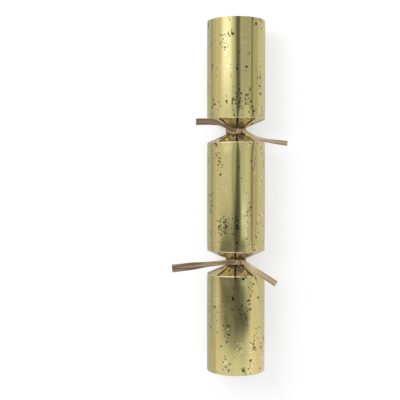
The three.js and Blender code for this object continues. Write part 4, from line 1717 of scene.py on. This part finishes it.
def gritty_material(name, rgb, *, grain, roughness):
    """A dull coating with grit in it."""
    material, tree, shader = new_material(name)
    grit = coating_grit(tree, object_places(tree), {"Grain Scale": grain})
    height = grit["Height"]
    light, dark = (shaded(rgb, share) for share in GRIT_SHADES)
    polished = roughness - GRIT_POLISH
    set_inputs(tree, shader, {
        "Base Color": mixed_colour(tree, grit["Tone"], light, dark),
        "Roughness": remapped(tree, height, *GRIT_DEPTHS, polished, roughness, kind="LINEAR"),
        "Normal": bumped(tree, height, strength=0.8, distance=0.08 * MM),
    })
    return material


def glue_material(rgb):
    """Dried white glue: glossy and slightly cloudy."""
    material, tree, shader = new_material("Dried glue")
    cloud = noise_value(tree, object_places(tree), scale=420.0, detail=4.0, roughness=0.6)
    tone = remapped(tree, cloud, *GLUE_TONES)
    set_inputs(tree, shader, {
        "Base Color": mixed_colour(tree, tone, shaded(rgb, GLUE_SHADE), rgb),
        "Roughness": remapped(tree, cloud, *GLUE_GLOSSES, *GLUE_ROUGHNESS, kind="LINEAR"),
        "Normal": bumped(tree, cloud, strength=0.5, distance=0.05 * MM),
    })
    return material


def tissue_material(rgb):
    """Thin dyed tissue paper, finely crinkled."""
    material, tree, shader = new_material("Red tissue")
    places = sheet_places(tree)
    fibres = paper_fibres(tree, places, {"Contrast": 1.0})
    long_places = stretched(tree, places, CRINKLE_STRETCH)
    crinkle = noise_value(tree, long_places, scale=260.0, detail=6.0, roughness=0.62)
    tone = mixed_value(tree, 0.5, fibres["Tone"], crinkle)
    tone = remapped(tree, tone, *TISSUE_TONES)
    set_inputs(tree, shader, {
        "Base Color": mixed_colour(tree, tone, shaded(rgb, TISSUE_SHADE), rgb),
        "Roughness": 0.85,
        "Normal": bumped(tree, crinkle, strength=0.8, distance=0.35 * MM),
    })
    return material


def wood_material(name, rgb, stretch):
    """Turned and waxed beech."""
    material, tree, shader = new_material(name)
    places = object_places(tree)
    wood = wood_grain(tree, places, stretch)
    tone = remapped(tree, wood["Grain"], *WOOD_GRAINS)
    shade = mixed_colour(tree, tone, shaded(rgb, WOOD_SHADES["grain"]), rgb)
    dark = product(tree, wood["Fleck"], FLECK_SHARE)
    shade = mixed_colour(tree, dark, shade, shaded(rgb, WOOD_SHADES["fleck"]))
    smudge = handling_marks(tree, places, {})["Smudge"]
    set_inputs(tree, shader, {
        "Base Color": shade,
        "Roughness": ranged(tree, smudge, *WOOD_ROUGHNESS),
        "Normal": bumped(tree, wood["Grain"], strength=0.4, distance=0.06 * MM),
    })
    return material


def lacquer_material(name, paint, wood):
    """Thin lacquer on turned wood, worn through in places."""
    material, tree, shader = new_material(name)
    places = object_places(tree)
    grain = wood_grain(tree, places, DISC_GRAIN)["Grain"]
    marks = handling_marks(tree, places, LACQUER_MARKS)
    tone = remapped(tree, grain, *LACQUER_GRAINS)
    shade = mixed_colour(tree, tone, shaded(paint, LACQUER_SHADE), paint)
    worn = product(tree, marks["Scuff"], LACQUER_WEAR)
    set_inputs(tree, shader, {
        "Base Color": mixed_colour(tree, worn, shade, wood),
        "Roughness": ranged(tree, marks["Smudge"], *LACQUER_ROUGHNESS),
        "Normal": bumped(tree, grain, strength=0.25, distance=0.04 * MM),
    })
    return material


# The stage

# Soft parts of the studio that the foil mirrors: how far each leans from straight overhead
# towards +X and towards +Y in degrees, its half sizes and soft borders in degrees, and its level
STUDIO_LEVEL = 0.56
STUDIO_PARTS = [
    ("left wall", -84, 20, 16, 60, 7, 8, 0.68),
    ("left panel", -44, 7, 22, 9, 6, 3, 0.66),
    ("key panel", -40, 36, 20, 30, 13, 4, 1.34),
    ("right panel", 37, 34, 19, 28, 5, 5, 0.42),
    ("right strip", 42, 1, 9, 4, 3, 2, 0.68),
    ("low right strip", 30, -4, 10, 2.2, 3, 1.2, 0.92),
    ("right wall", 90, 10, 20, 17, 5, 4, 0.52),
    ("right low wall", 90, -11.5, 32, 5.5, 6, 1.5, 0.80),
    ("right gap", 63, 8, 3.6, 15, 4.2, 3, 0.13),
    ("left horizon", -104, 6, 6, 14, 4, 2, 0.18),
    ("overhead", 4, 50, 9, 26, 6, 6, 0.35),
    ("camera shade", 5, 12, 9, 16, 5, 3, 0.07),
    ("shade flank", -13, -1, 4, 7, 6, 4, 0.34),
    ("leaning shade edge", -22, -4.5, 34, 1.0, 12, 1.0, 0.20),
    ("leaning shade", -16, -8.0, 50, 2.8, 12, 1.2, 0.11),
    ("low shade", 2, -6.6, 12, 5.2, 7, 1.2, 0.01),
    ("shade foot", 0, -10.9, 50, 1.1, 9, 0.7, 0.03),
    ("shade tip", 3, -12.1, 30, 0.7, 8, 0.5, 0.08),
    ("near wall", -30, -50, 150, 37.3, 10, 0.9, 0.80),
    ("near right wall", 96, -50, 52, 37.8, 16, 1.2, 0.96),
    ("far wall", 0, 60, 150, 22, 10, 5, 1.0),
    ("far panel", 20, 62, 16, 20, 6, 6, 1.5),
    ("far shade", -16, 62, 9, 20, 5, 6, 0.25),
    ("near floor", 0, -64, 150, 34, 10, 8, 0.45),
    ("near left gap", -76, -60, 9, 26, 6, 8, 0.25),
    ("near panel", -38, -62, 18, 22, 6, 8, 1.15),
    ("near shade", 4, -60, 11, 24, 6, 8, 0.16),
    ("near right gap", 58, -60, 7, 26, 6, 8, 0.30),
]
TABLE_GLOW = 0.55
TABLE_LIGHT = 1.25
TABLE_COLOUR = (0.86, 0.87, 0.88)
TABLE_HALF = 4.0
TABLE_DROP = 0.05 * MM
TABLE_SHELTER = 0.04
SHELTER_FROM = 0.12
SHELTER_TO = 0.32
TABLE_FADE_FROM = 0.25
TABLE_FADE_TO = 1.1
TABLE_MIRRORED = 0.6
TABLE_MIRRORED_LEFT = 0.34
TABLE_MIRRORED_RIGHT = 0.66
TABLE_MIDDLE = 0.05
TABLE_NEAR_FROM = -0.10
TABLE_NEAR_TO = -0.17
TABLE_NEAR_RIGHT = 0.92
TABLE_STRIPE = -0.135
TABLE_STRIPE_FROM = 0.02
TABLE_STRIPE_TO = 0.07
TABLE_STRIPE_LEVEL = 0.02
WHITE = (1.0, 1.0, 1.0)
WARM_LIGHT = (1.0, 0.90, 0.84)
WARM_FROM = 45.0
WARM_TO = 80.0
KEY_LIGHT = (1.0, 1.03, 1.18)
KEY_FROM = 0.7
KEY_TO = 1.3
LAMP_SIZE = 0.5
LAMP_PLACE = (-0.55, 0.35, 0.85)
SENSOR_WIDTH = 36
NEAREST_SEEN = 0.01


def ray_kinds(tree):
    """Whether a ray comes straight from the camera or through glass, and whether it is a
    reflection."""
    path = add_node(tree, "ShaderNodeLightPath").outputs
    seen = calculated(tree, "MAXIMUM", path["Is Camera Ray"], path["Is Transmission Ray"])
    return seen, path["Is Glossy Ray"]


def inside_part(tree, angle, middle, half, soft):
    """How far an angle lies inside a part of the studio, past its soft border."""
    away = calculated(tree, "ABSOLUTE", calculated(tree, "SUBTRACT", angle, middle))
    return remapped(tree, away, half + soft, half - soft)


def studio_light(tree):
    """The brightness and the tint of the studio in each direction."""
    ray = add_node(tree, "ShaderNodeTexCoord").outputs["Generated"]
    x, y, z = add_node(tree, "ShaderNodeSeparateXYZ", {0: ray}).outputs
    tilt = calculated(tree, "DEGREES", calculated(tree, "ARCTAN2", x, z))
    lean = calculated(tree, "DEGREES", calculated(tree, "ARCSINE", y))
    level = STUDIO_LEVEL
    for _, across, along, half_across, half_along, soft_across, soft_along, target in STUDIO_PARTS:
        inside = product(
            tree,
            inside_part(tree, tilt, across, half_across, soft_across),
            inside_part(tree, lean, along, half_along, soft_along),
        )
        level = mixed_value(tree, inside, level, target)
    low_down = remapped(tree, calculated(tree, "ABSOLUTE", tilt), WARM_FROM, WARM_TO)
    tint = mixed_colour(tree, remapped(tree, level, KEY_FROM, KEY_TO), WHITE, KEY_LIGHT)
    return level, mixed_colour(tree, low_down, tint, WARM_LIGHT)


def table_material():
    """A white table that stays white in the picture and keeps a soft shadow."""
    material, tree, shader = new_material("White table")
    inputs = {"Base Color": TABLE_COLOUR, "Roughness": 0.9, "Specular IOR Level": 0.0}
    set_inputs(tree, shader, inputs)
    seen, glossy = ray_kinds(tree)
    places = object_places(tree)
    across, along, _ = add_node(tree, "ShaderNodeSeparateXYZ", {0: places}).outputs
    away = vector_node(tree, "LENGTH", places).outputs["Value"]
    fade = remapped(tree, away, TABLE_FADE_FROM, TABLE_FADE_TO)

    # Painted reflection: what the foil mirrors of the table is darker on the left than on the
    # right, brighter on the near side, and nearly black along a stripe beside the cracker, standing
    # in for something dark there.
    near = remapped(tree, along, TABLE_NEAR_FROM, TABLE_NEAR_TO)
    right = mixed_value(tree, near, TABLE_MIRRORED_RIGHT, TABLE_NEAR_RIGHT)
    mirrored = remapped(
        tree, across, -TABLE_MIDDLE, TABLE_MIDDLE, TABLE_MIRRORED_LEFT, right
    )
    stripe = calculated(tree, "ABSOLUTE", calculated(tree, "SUBTRACT", across, TABLE_STRIPE))
    off_stripe = remapped(tree, stripe, TABLE_STRIPE_FROM, TABLE_STRIPE_TO)
    off_stripe = calculated(tree, "MAXIMUM", off_stripe, near)
    mirrored = mixed_value(tree, off_stripe, TABLE_STRIPE_LEVEL, mirrored)

    light = mixed_value(tree, fade, TABLE_LIGHT, 1.0)
    # In reflections the glow is warm and at the painted level above.
    glow = add_node(tree, "ShaderNodeEmission", {
        "Color": mixed_colour(tree, glossy, WHITE, WARM_LIGHT),
        "Strength": mixed_value(tree, glossy, light, mirrored),
    })
    # Painted shadow: where the cracker shelters the table, its glow is taken away, which darkens
    # the table under the cracker.
    shelter = {"Distance": TABLE_SHELTER}
    open_sky = add_node(tree, "ShaderNodeAmbientOcclusion", shelter, samples=4).outputs["AO"]
    open_sky = remapped(tree, open_sky, SHELTER_FROM, SHELTER_TO)
    seen = product(tree, product(tree, seen, open_sky), mixed_value(tree, fade, TABLE_GLOW, 1.0))
    share = calculated(tree, "MAXIMUM", seen, product(tree, glossy, TABLE_MIRRORED))
    inputs = {0: share, 1: shader.outputs[0], 2: glow.outputs[0]}
    mix = add_node(tree, "ShaderNodeMixShader", inputs)
    tree.links.new(mix.outputs[0], tree.nodes["Material Output"].inputs["Surface"])
    return material


class CRACKER_OT_studio(bpy.types.Operator):
    """Sets the table, the soft studio light and the camera"""

    bl_idname = "cracker.studio"
    bl_label = "Studio"

    def execute(self, context):
        sizes = context.scene.cracker_studio
        scene = context.scene
        scene.view_settings.view_transform = "Standard"

        world = bpy.data.worlds.new("Soft studio")
        scene.world = world
        world.use_nodes = True
        tree = world.node_tree
        seen, _ = ray_kinds(tree)
        level, tint = studio_light(tree)
        set_inputs(tree, tree.nodes["Background"], {
            "Strength": mixed_value(tree, seen, level, 1.0),
            "Color": mixed_colour(tree, seen, tint, WHITE),
        })

        lamp = bpy.data.lights.new("Soft lamp", "AREA")
        lamp.shape = "DISK"
        lamp.size = LAMP_SIZE
        lamp.energy = sizes.lamp_power
        held = bpy.data.objects.new("Soft lamp", lamp)
        held.location = LAMP_PLACE
        held.rotation_euler = (-held.location).to_track_quat("-Z", "Y").to_euler()
        held.visible_glossy = False
        held.visible_camera = False
        scene.collection.objects.link(held)

        table = bpy.data.meshes.new("table")
        ends = (-TABLE_HALF, TABLE_HALF)
        corners = [(x, y, 0) for y in ends for x in ends]
        table.from_pydata(corners, [], [(0, 1, 3, 2)])
        table.materials.append(table_material())
        top = bpy.data.objects.new("table", table)
        top.location.z = -TABLE_DROP
        scene.collection.objects.link(top)

        camera = bpy.data.cameras.new("Camera")
        camera.lens = sizes.lens
        camera.sensor_width = SENSOR_WIDTH
        camera.clip_start = NEAREST_SEEN
        viewer = bpy.data.objects.new("Camera", camera)
        viewer.location = (sizes.camera_x, sizes.camera_y, sizes.camera_height)
        viewer.rotation_euler = (sizes.camera_pitch, 0, 0)
        scene.collection.objects.link(viewer)
        scene.camera = viewer
        return {"FINISHED"}


class CRACKER_PT_panel(bpy.types.Panel):
    """Lists the steps that build the cracker"""

    bl_label = "Christmas cracker"
    bl_idname = "CRACKER_PT_panel"
    bl_space_type = "VIEW_3D"
    bl_region_type = "UI"
    bl_category = "Cracker"

    def draw(self, context):
        for operator in OPERATORS:
            self.layout.operator(operator.bl_idname)
        for group in GROUPS:
            box = self.layout.box()
            settings = getattr(context.scene, group)
            for name in settings.bl_rna.properties.keys():
                if name not in ("rna_type", "name"):
                    box.prop(settings, name)


GROUPS = {
    "cracker_card": CardSizes,
    "cracker_foil": FoilLook,
    "cracker_ribbon": RibbonSizes,
    "cracker_papers": PaperColours,
    "cracker_top": TopColours,
    "cracker_studio": StudioSizes,
}
OPERATORS = [
    CRACKER_OT_foil_card,
    CRACKER_OT_ribbons,
    CRACKER_OT_linings,
    CRACKER_OT_snap_strips,
    CRACKER_OT_snap_patches,
    CRACKER_OT_snap_sleeve,
    CRACKER_OT_glue,
    CRACKER_OT_paper_hat,
    CRACKER_OT_hat_band,
    CRACKER_OT_motto,
    CRACKER_OT_wooden_top,
    CRACKER_OT_studio,
]


def register():
    for kind in [*GROUPS.values(), *OPERATORS, CRACKER_PT_panel]:
        bpy.utils.register_class(kind)
    for name, kind in GROUPS.items():
        setattr(bpy.types.Scene, name, PointerProperty(type=kind))


def unregister():
    for name in GROUPS:
        delattr(bpy.types.Scene, name)
    for kind in reversed([*GROUPS.values(), *OPERATORS, CRACKER_PT_panel]):
        bpy.utils.unregister_class(kind)


def main():
    register()
    for operator in OPERATORS:
        group, name = operator.bl_idname.split(".")
        getattr(getattr(bpy.ops, group), name)()


if __name__ == "__main__":
    main()
